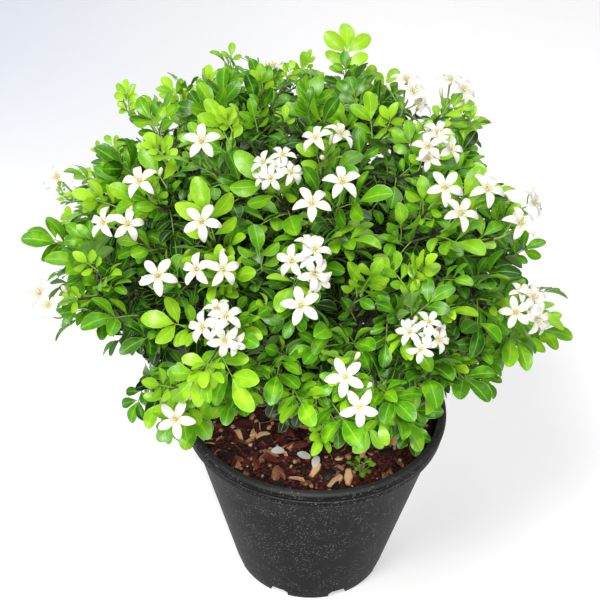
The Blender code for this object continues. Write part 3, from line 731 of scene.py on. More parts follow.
def swollen(piece, by):
    """A closed piece grown by a distance, to test that others keep clear of it."""
    mesh = bmesh.new()
    corners = [mesh.verts.new(corner) for corner in piece[0]]
    for face in piece[1]:
        mesh.faces.new([corners[index] for index in face])
    mesh.normal_update()
    moved = [corner.co + corner.normal * by for corner in corners]
    mesh.free()
    return moved, piece[1]


def ball_round(corners):
    """The middle of some corners, and how far the furthest lies from it."""
    centre = sum((Vector(corner) for corner in corners), Vector()) / len(corners)
    return centre, max((Vector(corner) - centre).length for corner in corners)


class Room:
    """What already stands in the crown, so that the next piece can be bent clear of it."""

    def __init__(self):
        self.taken = []
        self.balls = np.zeros((MOST_PIECES, 4))

    def add(self, piece, owner):
        centre, reach = ball_round(piece[0])
        self.balls[len(self.taken)] = (*centre, reach)
        self.taken.append((BVHTree.FromPolygons(*piece), owner))

    def is_free(self, piece, touching=(), clearance=0.0007):
        """True where the piece, swollen by the clearance, meets nothing but the owners it may touch."""
        grown = swollen(piece, clearance) if clearance else piece
        tree = BVHTree.FromPolygons(*grown)
        centre, reach = ball_round(grown[0])
        balls = self.balls[:len(self.taken)]
        apart = np.linalg.norm(balls[:, :3] - np.array(centre), axis=1)
        for index in np.flatnonzero(apart <= reach + balls[:, 3]):
            other, owner = self.taken[index]
            if owner not in touching and tree.overlap(other):
                return False
        return True


def tube(path, radii, sides):
    """A closed round bar along a path, with a radius at each point."""
    points = [Vector(point) for point in path]
    steps = [(b - a).normalized() for a, b in zip(points, points[1:])]
    along = [steps[0]] + [(a + b).normalized() for a, b in zip(steps, steps[1:])] + [steps[-1]]
    across = along[0].orthogonal().normalized()
    corners = []
    for point, direction, radius in zip(points, along, radii):
        across = (across - direction * across.dot(direction)).normalized()
        other = direction.cross(across)
        for side in range(sides):
            turn = 2 * math.pi * side / sides
            corners.append(point + swung(across, other, turn) * radius)
    faces = [tuple(reversed(range(sides)))]
    for ring in range(len(points) - 1):
        for side in range(sides):
            a, b = ring * sides + side, ring * sides + (side + 1) % sides
            faces.append((a, b, b + sides, a + sides))
    last = (len(points) - 1) * sides
    faces.append(tuple(range(last, last + sides)))
    return corners, faces


def bend(start, start_direction, end, end_direction, steps, pull=0.38):
    """Points on a smooth curve that leaves start and reaches end in the given directions."""
    reach = (end - start).length * pull
    first, second = start + start_direction * reach, end - end_direction * reach
    points = []
    for step in range(steps + 1):
        t = step / steps
        u = 1 - t
        points.append(start * u**3 + first * 3 * u * u * t + second * 3 * u * t * t + end * t**3)
    return points


def thickened(corners, triangles, thickness):
    """A closed blade from its upper sheet: the lower sheet is split alike and lies a thickness under it."""
    count = len(corners)
    solid = [Vector(corner) for corner in corners]
    solid += [corner - UP * thickness for corner in solid[:count]]
    edges = {(a, b) for face in triangles for a, b in zip(face, face[1:] + face[:1])}
    faces = list(triangles) + [tuple(index + count for index in reversed(face)) for face in triangles]
    faces += [(b, a, a + count, b + count) for a, b in sorted(edges) if (b, a) not in edges]
    return solid, faces


def turn_to(ahead, upper):
    """The turn that points +X ahead and +Z as near as it can to upper."""
    x = ahead.normalized()
    z = (upper - x * upper.dot(x)).normalized()
    return Matrix((x, z.cross(x), z)).transposed()


def placed(piece, origin, ahead, upper):
    """A piece turned so that its +X points ahead and its +Z as near as it can to upper."""
    turn = turn_to(ahead, upper)
    return [origin + turn @ Vector(corner) for corner in piece[0]], piece[1]


def along_path(path, share):
    """The point at a share of a path's length, and the path's direction there."""
    lengths = [(b - a).length for a, b in zip(path, path[1:])]
    left = share * sum(lengths)
    for a, b, length in zip(path, path[1:], lengths):
        if left <= length:
            return a.lerp(b, left / length), (b - a).normalized()
        left -= length
    return path[-1].copy(), (path[-1] - path[-2]).normalized()


# Where the crown's tips are

@functools.cache
def photo_axes():
    """The photograph's camera looks along the first, with the others to its right and up."""
    forward = Vector((0, math.cos(PHOTO_PITCH), -math.sin(PHOTO_PITCH)))
    level = Vector((1, 0, 0))
    above = level.cross(forward)
    right = swung(level, above, PHOTO_ROLL)
    up = above * math.cos(PHOTO_ROLL) - level * math.sin(PHOTO_ROLL)
    return forward, right, up


def photo_ray(pixel):
    """Direction from the photograph's camera through one of its pixels."""
    forward, right, up = photo_axes()
    x, y = (pixel[0] - PHOTO_MIDDLE) / PHOTO_FOCAL, (PHOTO_MIDDLE - pixel[1]) / PHOTO_FOCAL
    return (forward + right * x + up * y).normalized()


def crown_share(point):
    """The point in crown units: length 1 lies on the crown's surface."""
    offset = point - CROWN_CENTRE
    return Vector(offset[i] / CROWN_RADII[i] for i in range(3))


def tuft_lift(share):
    """How far the foliage swells into a tuft, or falls back between two, in a direction from the middle."""
    return TUFT_RELIEF * noise.noise(share.normalized() * TUFT_SPACING + Vector((3.0, 1.0, 7.0)))


def crown_place(share):
    return CROWN_CENTRE + Vector(share[i] * CROWN_RADII[i] for i in range(3))


def crown_outward(point):
    """The crown surface's outward direction nearest to a point."""
    share = crown_share(point)
    return Vector(share[i] / CROWN_RADII[i] for i in range(3)).normalized()


def seen_at(pixel):
    """Where a pixel's ray meets the crown, or passes nearest to its middle if it misses."""
    ray = photo_ray(pixel)
    start, step = crown_share(PHOTO_EYE), crown_share(CROWN_CENTRE + ray)
    a, b, c = step.dot(step), start.dot(step), start.dot(start) - 1
    inside = b * b - a * c
    travel = (-b - math.sqrt(inside)) / a if inside > 0 else -b / a
    return PHOTO_EYE + ray * travel


def pixel_of(point):
    """Where a point shows in the photograph."""
    forward, right, up = photo_axes()
    away = point - PHOTO_EYE
    share = PHOTO_FOCAL / away.dot(forward)
    return PHOTO_MIDDLE + away.dot(right) * share, PHOTO_MIDDLE - away.dot(up) * share


def in_outline(pixel):
    """True where a pixel lies in the crown's measured outline."""
    x, y = pixel
    inside = False
    for (x1, y1), (x2, y2) in zip(PHOTO_OUTLINE, PHOTO_OUTLINE[1:] + PHOTO_OUTLINE[:1]):
        if (y1 > y) != (y2 > y) and x < (x2 - x1) * (y - y1) / (y2 - y1) + x1:
            inside = not inside
    return inside


def even_direction(number, count, lowest):
    """The number-th of count even directions over a ball, from straight up down to a lowest height."""
    height = 1 - (1 - lowest) * (number + 0.5) / count
    return on_circle(number * GOLDEN_TURN, math.sqrt(max(0.0, 1 - height * height)), height)


class Tip:
    """The end of one twig: a bloom with some flowers, or a leafy shoot with none."""

    def __init__(self, place, flowers=0, to_camera=0.0):
        self.place = place
        self.flowers = flowers
        self.outward = crown_outward(place)
        facing = self.outward.lerp((PHOTO_EYE - place).normalized(), to_camera)
        self.facing = (facing + UP * 0.15).normalized()
        self.end = place - self.outward * (STALK_LENGTH if flowers else LEAF_REACH)
        self.twig = None
        self.twig_name = ""
        self.line = None


def crown_tips():
    """Every twig end: blooms and shoots where the photograph shows them, then even filling all round."""
    tips = [Tip(seen_at((x, y)), flowers, turn) for x, y, flowers, turn in PHOTO_BLOOMS]
    for bearing, height, flowers in BACK_BLOOMS:
        direction = on_circle(math.radians(bearing), math.sqrt(1 - height * height), height)
        tips.append(Tip(crown_place(direction), flowers))
    tips += [Tip(seen_at(pixel)) for pixel in PHOTO_SHOOTS]
    for number in range(FILL_SHOOTS):
        place = crown_place(even_direction(number, FILL_SHOOTS, FILL_LOWEST))
        if all((tip.place - place).length > FILL_CLEARANCE for tip in tips):
            tips.append(Tip(place))
    return tips


# The solids' growth, repeated so that the fine pieces stand where the solid ones do

def mix_draws(rng):
    """The mix's lumps, ring by ring, and its large chips, drawn in the same order as the solids' are."""
    lumps = [[rng.uniform(-MIX_RELIEF, MIX_RELIEF) for _ in range(MIX_SIDES)] for _ in MIX_RINGS]
    chips = []
    for number in range(CHIPS):
        radius = CHIP_NEAREST + CHIP_SPAN * math.sqrt((number + 0.5) / CHIPS)
        place = on_circle(number * GOLDEN_TURN, radius, MIX_LEVEL)
        length = CHIP_LENGTH * rng.uniform(0.7, 1.1)
        width = length * rng.uniform(0.38, 0.55)
        heading = rng.uniform(0, 2 * math.pi)
        ahead = on_circle(heading, 1.0, rng.uniform(-0.35, 0.35))
        upper = Vector((rng.uniform(-0.3, 0.3), rng.uniform(-0.3, 0.3), 1.0))
        lift = UP * rng.uniform(*CHIP_LIFT)
        chips.append((place + lift, ahead, upper, Vector((length, width, CHIP_THICKNESS))))
    return lumps, chips


def grow_wood(tips, room):
    """The woody stems, and for each spray its hub, its outward direction and the tips that it carries."""
    hubs = [crown_place(even_direction(number, SPRAYS, SPRAY_LOWEST) * HUB_DEPTH)
            for number in range(SPRAYS)]
    carried = [[] for _ in hubs]
    for tip in tips:
        aim = crown_share(tip.place).normalized()
        nearest = max(range(SPRAYS), key=lambda k: aim.dot(crown_share(hubs[k]).normalized()))
        carried[nearest].append(tip)
    trunk = [UP * (TRUNK_HOLE_FLOOR + GAP), UP * MIX_LEVEL, UP * (FORK_HEIGHT + TRUNK_RADIUS)]
    trunk_radii = tapered(TRUNK_RADIUS, 0.7, 1.0, 0.85)
    wood = [tube(trunk, trunk_radii, 7)]
    lines = [(trunk, trunk_radii)]
    stem_ends = []
    for number in range(MAIN_STEMS + 1):
        turn = 2 * math.pi * (number + 0.3) / MAIN_STEMS
        out = on_circle(turn) if number < MAIN_STEMS else Vector()
        rise = MAIN_STEM_RISE if number < MAIN_STEMS else LEADER_RISE
        start = UP * FORK_HEIGHT + out * 0.002
        end = UP * (FORK_HEIGHT + rise) + out * MAIN_STEM_SPREAD
        lean = (out * 0.9 + UP).normalized()
        radii = tapered(MAIN_STEM_RADIUS, 1.1, 1.0, 0.92, 0.85)
        wood.append(tube(bend(start, UP, end, lean, 3), radii, 5))
        lines.append((bend(start, UP, end, lean, FINE_STEPS), radii))
        stem_ends.append((end - lean * 0.003, lean))
    sprays = []
    for hub, own in zip(hubs, carried):
        if not own:
            continue
        base, lean = min(stem_ends, key=lambda pair: (pair[0] - hub).length)
        outward = (hub - base).normalized().lerp(crown_outward(hub), 0.4).normalized()
        path = bend(base, lean, hub, outward, 2)
        radii = tapered(BRANCH_RADIUS, 1.15, 0.95, 0.8)
        wood.append(tube(path, radii, 4))
        lines.append((bend(base, lean, hub, outward, FINE_STEPS), radii))
        ahead = (path[-1] - path[-2]).normalized()
        sprays.append({"hub": hub, "outward": ahead, "tips": own, "leaves": []})
    for piece in wood:
        room.add(piece, "wood")
    return lines, sprays


def grow_twigs(number, spray, room):
    """The spray's own stub on its stem, and one twig from it to each of its tips."""
    hub, outward = spray["hub"], spray["outward"]
    own = [f"stub {number}"]
    stub_ends = [hub + outward * GAP, hub + outward * STUB_LENGTH]
    stub = tube(stub_ends, tapered(TWIG_RADIUS, 1.5, 1.3), 4)
    room.add(stub, own[0])
    start = hub + outward * STUB_LENGTH / 2
    for tip in spray["tips"]:
        aim = (tip.end - start).normalized()
        side = aim.orthogonal().normalized()
        steps = 2 if (tip.end - start).length < 0.07 else 3
        end_direction = tip.outward.lerp(aim, 0.4).normalized()
        for bow in (0.0, 0.36, -0.36, 0.72, -0.72):
            leave = (outward * 0.5 + aim + side * bow).normalized()
            path = bend(start, leave, tip.end, end_direction, steps)
            radii = [TWIG_RADIUS * (1.15 - 0.25 * step / steps) for step in range(steps + 1)]
            twig = tube(path, radii, 3)
            if room.is_free(twig, touching=own):
                break
        else:
            continue
        tip.twig = path
        tip.twig_name = f"twig {number}.{len(own)}"
        tip.line = bend(start, leave, tip.end, end_direction, FINE_STEPS)
        own.append(tip.twig_name)
        room.add(twig, tip.twig_name)


def solid_flower(place, facing, petal_up, radius, stalk):
    """The solid flower and its stalk, against which the later pieces are kept clear."""
    aside = facing.cross(petal_up)
    top, notches = [], []
    for petal in range(PETALS):
        turn = 2 * math.pi * petal / PETALS
        for reach, side, rise in PETAL_OUTLINE:
            angle = turn + math.radians(side)
            level = swung(petal_up, aside, angle)
            top.append(place + (level * reach + facing * rise) * radius)
            if side == PETAL_OUTLINE[0][1]:
                notches.append(level)
    count, step = len(top), len(PETAL_OUTLINE)
    corners = top + [corner - facing * PETAL_BLADE for corner in top]
    petals = []
    for first in range(0, count, step):
        around_petal = (index % count for index in range(first, first + step + 1))
        right, shoulder, tip, far_shoulder, left = around_petal
        petals += [(right, shoulder, tip), (right, tip, left), (tip, far_shoulder, left)]
    faces = petals + [tuple(index + count for index in reversed(face)) for face in petals]
    faces += [((a + 1) % count, a, a + count, (a + 1) % count + count) for a in range(count)]
    faces.append(tuple(range(0, count, step)))
    ring = list(range(count, 2 * count, step))
    axes = [(a - b).normalized() for a, b in zip([place] + stalk, stalk)]
    axes = [(a + b).normalized() for a, b in zip(axes, axes[1:])] + axes[-1:]
    for point, axis in zip(stalk, axes):
        after = list(range(len(corners), len(corners) + PETALS))
        for level in notches:
            corners.append(point + (level - axis * level.dot(axis)).normalized() * STALK_RADIUS)
        faces += [(ring[k - 1], ring[k - 2], after[k - 2], after[k - 1]) for k in range(PETALS)]
        ring = after
    faces.append(tuple(reversed(ring)))
    return corners, faces


def bloom_layout(tip):
    """The place and the facing of each flower in a bloom."""
    spread = FLOWER_SPREAD[tip.flowers]
    across = tip.facing.cross(UP).normalized()
    above = across.cross(tip.facing)
    flowers = []
    for number in range(tip.flowers):
        turn = 2 * math.pi * number / tip.flowers + (0.35 if tip.flowers == 4 else 0.0)
        aside = across * math.cos(turn) + above * math.sin(turn) * 0.9
        lift = tip.facing * 0.003 * (number % 2)
        facing = (tip.facing + aside * 0.45).normalized() if spread else tip.facing
        flowers.append((tip.place + aside * spread + lift, facing))
    return flowers


def turned_clear(place, facing, radius, room, rng):
    """The petals' turn about the flower's own axis at which they pass between their neighbours'."""
    above = UP if abs(facing.z) < 0.8 else Vector((0, -1, 0))
    petal_up = (above - facing * above.dot(facing)).normalized()
    for _attempt in range(12):
        turned = Matrix.Rotation(math.radians(rng.uniform(-36, 36)), 3, facing) @ petal_up
        piece = solid_flower(place, facing, turned, radius, [])
        if room.is_free(piece, clearance=0.0002):
            break
    room.add(piece, "flower")
    return turned


def grow_bloom(tip, owner, room, rng):
    """One bloom: its stalk's points and, for each flower, its place, facing, turn and radius."""
    ahead = (tip.twig[-1] - tip.twig[-2]).normalized()
    foot = tip.twig[-1] + ahead * GAP
    neck = foot + ahead * 0.004
    fork = neck.lerp(tip.place - tip.facing * 0.012, 0.35)
    start = fork - (fork - neck).normalized() * STALK_RADIUS
    radius = FLOWER_RADIUS[tip.flowers]
    pieces, flowers = [], []
    for place, facing in bloom_layout(tip):
        stalk = [neck, foot] if tip.flowers == 1 else [start]
        petal_up = turned_clear(place, facing, radius, room, rng)
        pieces.append(solid_flower(place, facing, petal_up, radius, stalk))
        flowers.append((place, facing, petal_up, radius))
    if tip.flowers > 1:
        pieces.append(tube([foot, neck, fork], tapered(STALK_RADIUS, 1.1, 1.2, 1.1), 3))
    for piece in pieces:
        room.add(piece, owner)
    return {"name": owner, "tip": tip, "flowers": flowers, "foot": foot, "neck": neck, "fork": fork}


def solid_leaflet(corners, triangles, right, left, direction, length):
    """Adds one obovate leaflet to a sheet, grown from the rib between its right and left base corners."""
    origin = (corners[right] + corners[left]) / 2
    width = length * LEAFLET_WIDTH
    along = direction.normalized()
    across = UP.cross(along).normalized()
    normal = along.cross(across)
    first = len(corners)
    for reach, side, rise in LEAFLET_OUTLINE:
        corners.append(origin + along * reach * length + across * side * width + normal * rise * width)
    right_low, right_high, tip, left_high, left_low = range(first, first + 5)
    triangles += [(right, right_low, right_high), (right, right_high, tip), (right, tip, left),
                  (left, tip, left_high), (left, left_high, left_low)]


def rib_stations(scale, pairs):
    """How far along its rib a leaf has its leaflets' feet, from 0 to the end."""
    stations = [0.0]
    for pair in range(pairs):
        foot = (FIRST_PAIR + PAIR_STEP * pair) * scale
        stations += [foot, foot + LEAFLET_FOOT * scale]
    return stations


def leaflet_directions(scale, pairs, droop):
    """For each pair its size and its spread from the rib, and the rise that all of them share."""
    sizes = [LEAFLET_LENGTH * scale * (0.72 + 0.32 * pair / pairs) for pair in range(pairs)]
    spreads = [math.radians(62 - 12 * pair) for pair in range(pairs)]
    return sizes, spreads, 0.22 - droop * 0.5


def solid_leaf(plan):
    """The solid pinnate leaf of a plan, in its place."""
    scale, pairs, droop = plan["scale"], plan["pairs"], plan["droop"]
    stations = rib_stations(scale, pairs)
    whole = stations[-1]
    corners = []
    for x in stations:
        z = -droop * (x / whole) ** 2 * whole
        corners += [Vector((x, -RIB_HALF, z)), Vector((x, RIB_HALF, z))]
    triangles = []
    for right in range(0, len(corners) - 2, 2):
        triangles += [(right, right + 2, right + 3), (right, right + 3, right + 1)]
    sizes, spreads, rise = leaflet_directions(scale, pairs, droop)
    for pair in range(pairs):
        low = 2 + 4 * pair
        for side, right, left in ((1, low + 3, low + 1), (-1, low, low + 2)):
            direction = Vector((math.cos(spreads[pair]), side * math.sin(spreads[pair]), rise))
            solid_leaflet(corners, triangles, right, left, direction, sizes[pair])
    end = 2 * (len(stations) - 1)
    solid_leaflet(corners, triangles, end, end + 1, Vector((1, 0, -1.6 * droop)), LEAFLET_LENGTH * scale)
    return placed(thickened(corners, triangles, BLADE), plan["root"] - plan["ahead"] * GAP, plan["ahead"],
                  plan["upper"])


def leaf_on_twig(tip, share, rng):
    """A leaf to try on a twig: at the tip it reaches for the tip's place, lower down it stands aside."""
    root, ahead = along_path(tip.twig, share)
    side = Matrix.Rotation(rng.uniform(0, 2 * math.pi), 3, ahead) @ ahead.orthogonal().normalized()
    at_tip = share == LEAF_AT_TIP
    towards = (tip.place - root).normalized() + side * 0.22 if at_tip else ahead + side * 1.1
    direction = (towards + UP * 0.10).normalized()
    upper = UP * 0.75 + tip.outward * 0.75 + Vector([rng.uniform(-0.25, 0.25) for _ in range(3)])
    if abs(upper.normalized().dot(direction)) > 0.9:
        upper += (PHOTO_EYE - root).normalized()
    pairs = 2 if at_tip or rng.random() < TWO_PAIRS else 1
    scale = rng.uniform(0.86, 1.06)
    return {"root": root, "ahead": direction, "upper": upper, "pairs": pairs, "scale": scale,
            "droop": rng.uniform(0.05, 0.22), "tip": tip, "share": share}


def grow_leaves(sprays, room, rng):
    """Leaves at the shoots' tips first, then further down the twigs, each one clear of everything else."""
    stations = []
    for number, spray in enumerate(sprays):
        for tip in spray["tips"]:
            if tip.twig is None:
                continue
            rank, share = (1, LEAF_NEAR_BLOOM) if tip.flowers else (0, LEAF_AT_TIP)
            stations += [(rank, number, tip, share), (2, number, tip, LEAF_LOWER)]
    rng.shuffle(stations)
    stations.sort(key=lambda entry: entry[0])
    grown = 0
    for _, number, tip, share in stations:
        if grown >= LEAVES_IN_ALL:
            break
        for _attempt in range(14):
            plan = leaf_on_twig(tip, share, rng)
            piece = solid_leaf(plan)
            if room.is_free(piece, touching=(tip.twig_name,)):
                room.add(piece, f"leaf {grown}")
                sprays[number]["leaves"].append(plan)
                grown += 1
                break


@functools.cache
def grown_plant():
    """The whole plant as the solids have it: stems, sprays, blooms, the mix's draws and what is taken."""
    rng = random.Random(SEED)
    room = Room()
    lumps, chips = mix_draws(rng)
    for node in ("pot", "growing_mix"):
        room.add(shape_of(frame["nodes"][node]), node)
    lines, sprays = grow_wood(crown_tips(), room)
    for number, spray in enumerate(sprays):
        grow_twigs(number, spray, room)
    blooms = []
    for spray in sprays:
        for tip in spray["tips"]:
            if tip.flowers and tip.twig:
                blooms.append(grow_bloom(tip, f"bloom_{len(blooms) + 1:02d}", room, rng))
    grow_leaves(sprays, room, rng)
    return {"lines": lines, "sprays": sprays, "blooms": blooms, "lumps": lumps, "chips": chips,
            "room": room}


# Blades and stems, gathered as points and edges before one tree turns them into a piece

class Bed:
    """Where blades stand and stems run in one piece, with what the tree and the finishes read from them."""

    def __init__(self):
        self.points = []
        self.edges = []
        self.rows = []

    def blade(self, place, ahead, upper, size, shape=0, age=0.5, tint=0.5):
        turn = turn_to(ahead, upper).to_quaternion()
        self.points.append(tuple(place))
        self.rows.append((False, 0.0, shape, age, tint, tuple(turn), tuple(size)))

    def stem(self, path, radii, age=0.5, tint=0.5):
        first = len(self.points)
        for number, point in enumerate(path):
            share = number / (len(path) - 1) * (len(radii) - 1)
            low = min(int(share), len(radii) - 2)
            radius = radii[low] + (radii[low + 1] - radii[low]) * (share - low)
            self.points.append(tuple(point))
            self.rows.append((True, radius, 0, age, tint, (1, 0, 0, 0), (1, 1, 1)))
        self.edges += [(index, index + 1) for index in range(first, len(self.points) - 1)]

    def mesh(self, name):
        mesh = bpy.data.meshes.new(name)
        mesh.from_pydata(self.points, self.edges, [])
        columns = zip(*self.rows)
        kinds = (("stem", "BOOLEAN"), ("thick", "FLOAT"), ("shape", "INT"), ("age", "FLOAT"),
                 ("tint", "FLOAT"), ("turn", "QUATERNION"), ("size", "FLOAT_VECTOR"))
        for (label, kind), column in zip(kinds, columns):
            field = mesh.attributes.new(label, kind, "POINT")
            slot = "vector" if kind == "FLOAT_VECTOR" else "value"
            field.data.foreach_set(slot, np.array(column).ravel())
        return mesh


class Tree:
    """A Geometry Nodes tree made in the script, with named inputs."""

    def __init__(self, name):
        self.group = bpy.data.node_groups.new(name, "GeometryNodeTree")
        self.inputs = {}
        self.group.interface.new_socket("Geometry", in_out="INPUT", socket_type="NodeSocketGeometry")
        self.group.interface.new_socket("Geometry", in_out="OUTPUT", socket_type="NodeSocketGeometry")
        self.entry = self.group.nodes.new("NodeGroupInput")
        self.exit = self.group.nodes.new("NodeGroupOutput")

    def input(self, name, kind, default=None):
        socket = self.group.interface.new_socket(name, in_out="INPUT", socket_type="NodeSocket" + kind)
        if default is not None:
            socket.default_value = default
        self.inputs[name] = socket.identifier
        return self.entry.outputs[name]

    def node(self, kind, settings=None, sockets=None, output=0):
        made = self.group.nodes.new(kind)
        for name, value in (settings or {}).items():
            setattr(made, name, value)
        for name, value in (sockets or {}).items():
            entry = made.inputs[name]
            if isinstance(value, bpy.types.NodeSocket):
                self.group.links.new(value, entry)
            else:
                entry.default_value = value
        return made.outputs[output]

    def named(self, name, kind):
        return self.node("GeometryNodeInputNamedAttribute", {"data_type": kind}, {"Name": name})


@functools.cache
def growth_tree():
    """Puts a blade on each loose point and a round stem along each run of edges."""
    tree = Tree("growth")
    shapes = tree.input("Blade Shapes", "Collection")
    blade_finish = tree.input("Blade Finish", "Material")
    stem_finish = tree.input("Stem Finish", "Material")
    sides = tree.input("Stem Sides", "Int", 6)
    spread = tree.input("Size Spread", "Float", 0.04)
    seed = tree.input("Seed", "Int", 3)
    is_stem = tree.named("stem", "BOOLEAN")
    parts = tree.node("GeometryNodeSeparateGeometry", {"domain": "POINT"},
                      {"Geometry": tree.entry.outputs["Geometry"], "Selection": is_stem})
    points = parts.node.outputs[1]
    curves = tree.node("GeometryNodeMeshToCurve", {}, {"Mesh": parts})
    profile = tree.node("GeometryNodeCurvePrimitiveCircle", {}, {"Resolution": sides, "Radius": 1.0})
    bars = tree.node("GeometryNodeCurveToMesh", {}, {
        "Curve": curves, "Profile Curve": profile, "Scale": tree.named("thick", "FLOAT"),
        "Fill Caps": True})
    bars = tree.node("GeometryNodeSetShadeSmooth", {}, {"Geometry": bars})
    children = tree.node("GeometryNodeCollectionInfo", {"transform_space": "ORIGINAL"},
                         {"Collection": shapes, "Separate Children": True, "Reset Children": True})
    least = tree.node("ShaderNodeMath", {"operation": "SUBTRACT"}, {0: 1.0, 1: spread})
    shrink = tree.node("FunctionNodeRandomValue", {"data_type": "FLOAT"},
                       {2: least, 3: 1.0, "Seed": seed}, output=1)
    scale = tree.node("ShaderNodeVectorMath", {"operation": "SCALE"},
                      {"Vector": tree.named("size", "FLOAT_VECTOR"), "Scale": shrink})
    blades = tree.node("GeometryNodeInstanceOnPoints", {}, {
        "Points": points, "Instance": children, "Pick Instance": True,
        "Instance Index": tree.named("shape", "INT"), "Rotation": tree.named("turn", "QUATERNION"),
        "Scale": scale})
    joined = tree.group.nodes.new("GeometryNodeJoinGeometry")
    tree.group.links.new(bars, joined.inputs[0])
    tree.group.links.new(blades, joined.inputs[0])
    real = tree.node("GeometryNodeRealizeInstances", {}, {"Geometry": joined.outputs[0]})
    finished = tree.node("GeometryNodeSetMaterial", {}, {"Geometry": real, "Material": blade_finish})
    finished = tree.node("GeometryNodeSetMaterial", {}, {
        "Geometry": finished, "Material": stem_finish, "Selection": tree.named("stem", "BOOLEAN")})
    tree.group.links.new(finished, tree.exit.inputs[0])
    return tree


def grown_piece(name, bed, shapes, blade_finish, stem_finish, sides=6, spread=0.04, seed=3):
    """The bed's blades and stems as one plain mesh object."""
    item = bpy.data.objects.new(name, bed.mesh(name))
    bpy.context.scene.collection.objects.link(item)
    tree = growth_tree()
    growth = item.modifiers.new("growth", "NODES")
    growth.node_group = tree.group
    values = {"Blade Shapes": shapes, "Blade Finish": blade_finish, "Stem Finish": stem_finish,
              "Stem Sides": sides, "Size Spread": spread, "Seed": seed}
    for label, value in values.items():
        growth[tree.inputs[label]] = value
    return baked(item, growth)


def baked(item, modifier):
    """The object with its evaluated mesh as its own and the modifier gone."""
    graph = bpy.context.evaluated_depsgraph_get()
    mesh = bpy.data.meshes.new_from_object(item.evaluated_get(graph), depsgraph=graph)
    item.modifiers.remove(modifier)
    item.data = mesh
    for label in ("thick", "shape", "turn", "size", "stem"):
        field = mesh.attributes.get(label)
        if field:
            mesh.attributes.remove(field)
    return item


def shape_set(name, meshes):
    """A collection of blade shapes, kept out of the scene, in the order in which points count them."""
    group = bpy.data.collections.new(name)
    for number, mesh in enumerate(meshes):
        group.objects.link(bpy.data.objects.new(f"{name}_{number}", mesh))
    return group


def drop_shapes(group):
    for item in list(group.objects):
        bpy.data.objects.remove(item)
    bpy.data.collections.remove(group)


def shape_mesh(name, corners, faces, marks, under=(), hues=None):
    """A smooth mesh of one shape, with its marks as UV, its under side's faces told apart and its hues."""
    mesh = bpy.data.meshes.new(name)
    mesh.from_pydata([tuple(corner) for corner in corners], [], faces)
    mesh.shade_smooth()
    layer = mesh.uv_layers.new(name="UVMap")
    for loop in mesh.loops:
        layer.data[loop.index].uv = marks[loop.vertex_index]
    side = mesh.attributes.new("under", "FLOAT", "FACE")
    side.data.foreach_set("value", [float(face in under) for face in range(len(faces))])
    hue = mesh.attributes.new("hue", "FLOAT", "POINT")
    hue.data.foreach_set("value", hues or [0.0] * len(corners))
    return mesh


def blade_mesh(name, stations, half_width, rise, rim, thickness, hue=0.0):
    """A closed thin blade of unit length along +X, whose upper and lower sheets meet at its rim."""
    corners = [Vector((0, 0, rise(0))), Vector((1, 0, rise(1)))]
    marks = [(0.0, 0.5), (1.0, 0.5)]
    for share in stations:
        for side in (-1, 1):
            corners.append(Vector((share, side * half_width(share, side), rise(share) + rim(share, side))))
            marks.append((share, 0.5 + 0.5 * side))
        for lift in (0.5, -0.5):
            corners.append(Vector((share, 0, rise(share) + lift * thickness)))
            marks.append((share, 0.5))
    last = 2 + 4 * (len(stations) - 1)
    upper, lower = [], []
    for sheet, mid in ((upper, 2), (lower, 3)):
        sheet += [(0, 2, 2 + mid), (0, 2 + mid, 3)]
        for first in range(2, last, 4):
            sheet += [(first, first + 4, first + 4 + mid, first + mid),
                      (first + mid, first + 4 + mid, first + 5, first + 1)]
        sheet += [(last, 1, last + mid), (last + mid, 1, last + 1)]
    faces = upper + [tuple(reversed(face)) for face in lower]
    mesh = shape_mesh(name, corners, faces, marks, range(len(upper), len(faces)), [hue] * len(corners))
    for edge in mesh.edges:
        ends = set(edge.vertices)
        edge.use_edge_sharp = all(end < 2 or (end - 2) % 4 < 2 for end in ends)
    return mesh


def turned_mesh(name, profile, sides):
    """A closed shape turned about +X from (place along, radius, hue) points, with a point at each end."""
    corners, marks, hues = [], [], []
    for number, (x, radius, hue) in enumerate(profile):
        count = 1 if number in (0, len(profile) - 1) else sides
        for side in range(count):
            turn = 2 * math.pi * side / sides
            corners.append(Vector((x, radius * math.cos(turn), radius * math.sin(turn)))
                           if count > 1 else Vector((x, 0, 0)))
            marks.append((x, side / sides))
            hues.append(hue)
    faces = [(0, 1 + (side + 1) % sides, 1 + side) for side in range(sides)]
    for ring in range(len(profile) - 3):
        a, b = 1 + ring * sides, 1 + (ring + 1) * sides
        faces += [(a + s, a + (s + 1) % sides, b + (s + 1) % sides, b + s) for s in range(sides)]
    last, end = 1 + (len(profile) - 3) * sides, len(corners) - 1
    faces += [(last + side, last + (side + 1) % sides, end) for side in range(sides)]
    return shape_mesh(name, corners, faces, marks, hues=hues)


# Leaves

def leaflet_half_width(share):
    """Half a leaflet's width in shares of its length: a wedge foot, widest past the middle, a round tip."""
    return 0.5 * LEAFLET_WIDTH * math.sin(math.pi * share ** 1.45) ** (0.86 - 0.38 * share)


def leaflet_mesh(number, fold, curl, skew):
    """One model of leaflet: how far it folds along its midrib, curls at its tip and leans to one side."""
    def ripple(share, side):
        return fold + 0.05 * math.sin(6 * share + 2 * side + number)

    return blade_mesh(
        f"leaflet_{number}", LEAFLET_STATIONS,
        half_width=lambda share, side: leaflet_half_width(share) * (1 + side * skew),
        rise=lambda share: 0.07 * math.sin(math.pi * share) - curl * share ** 2.4,
        rim=lambda share, side: leaflet_half_width(share) * ripple(share, side),
        thickness=LEAFLET_THICKNESS)


def leaflet_shapes(name):
    """Every model of leaflet."""
    return shape_set(name, [leaflet_mesh(number, *model) for number, model in enumerate(LEAFLET_MODELS)])


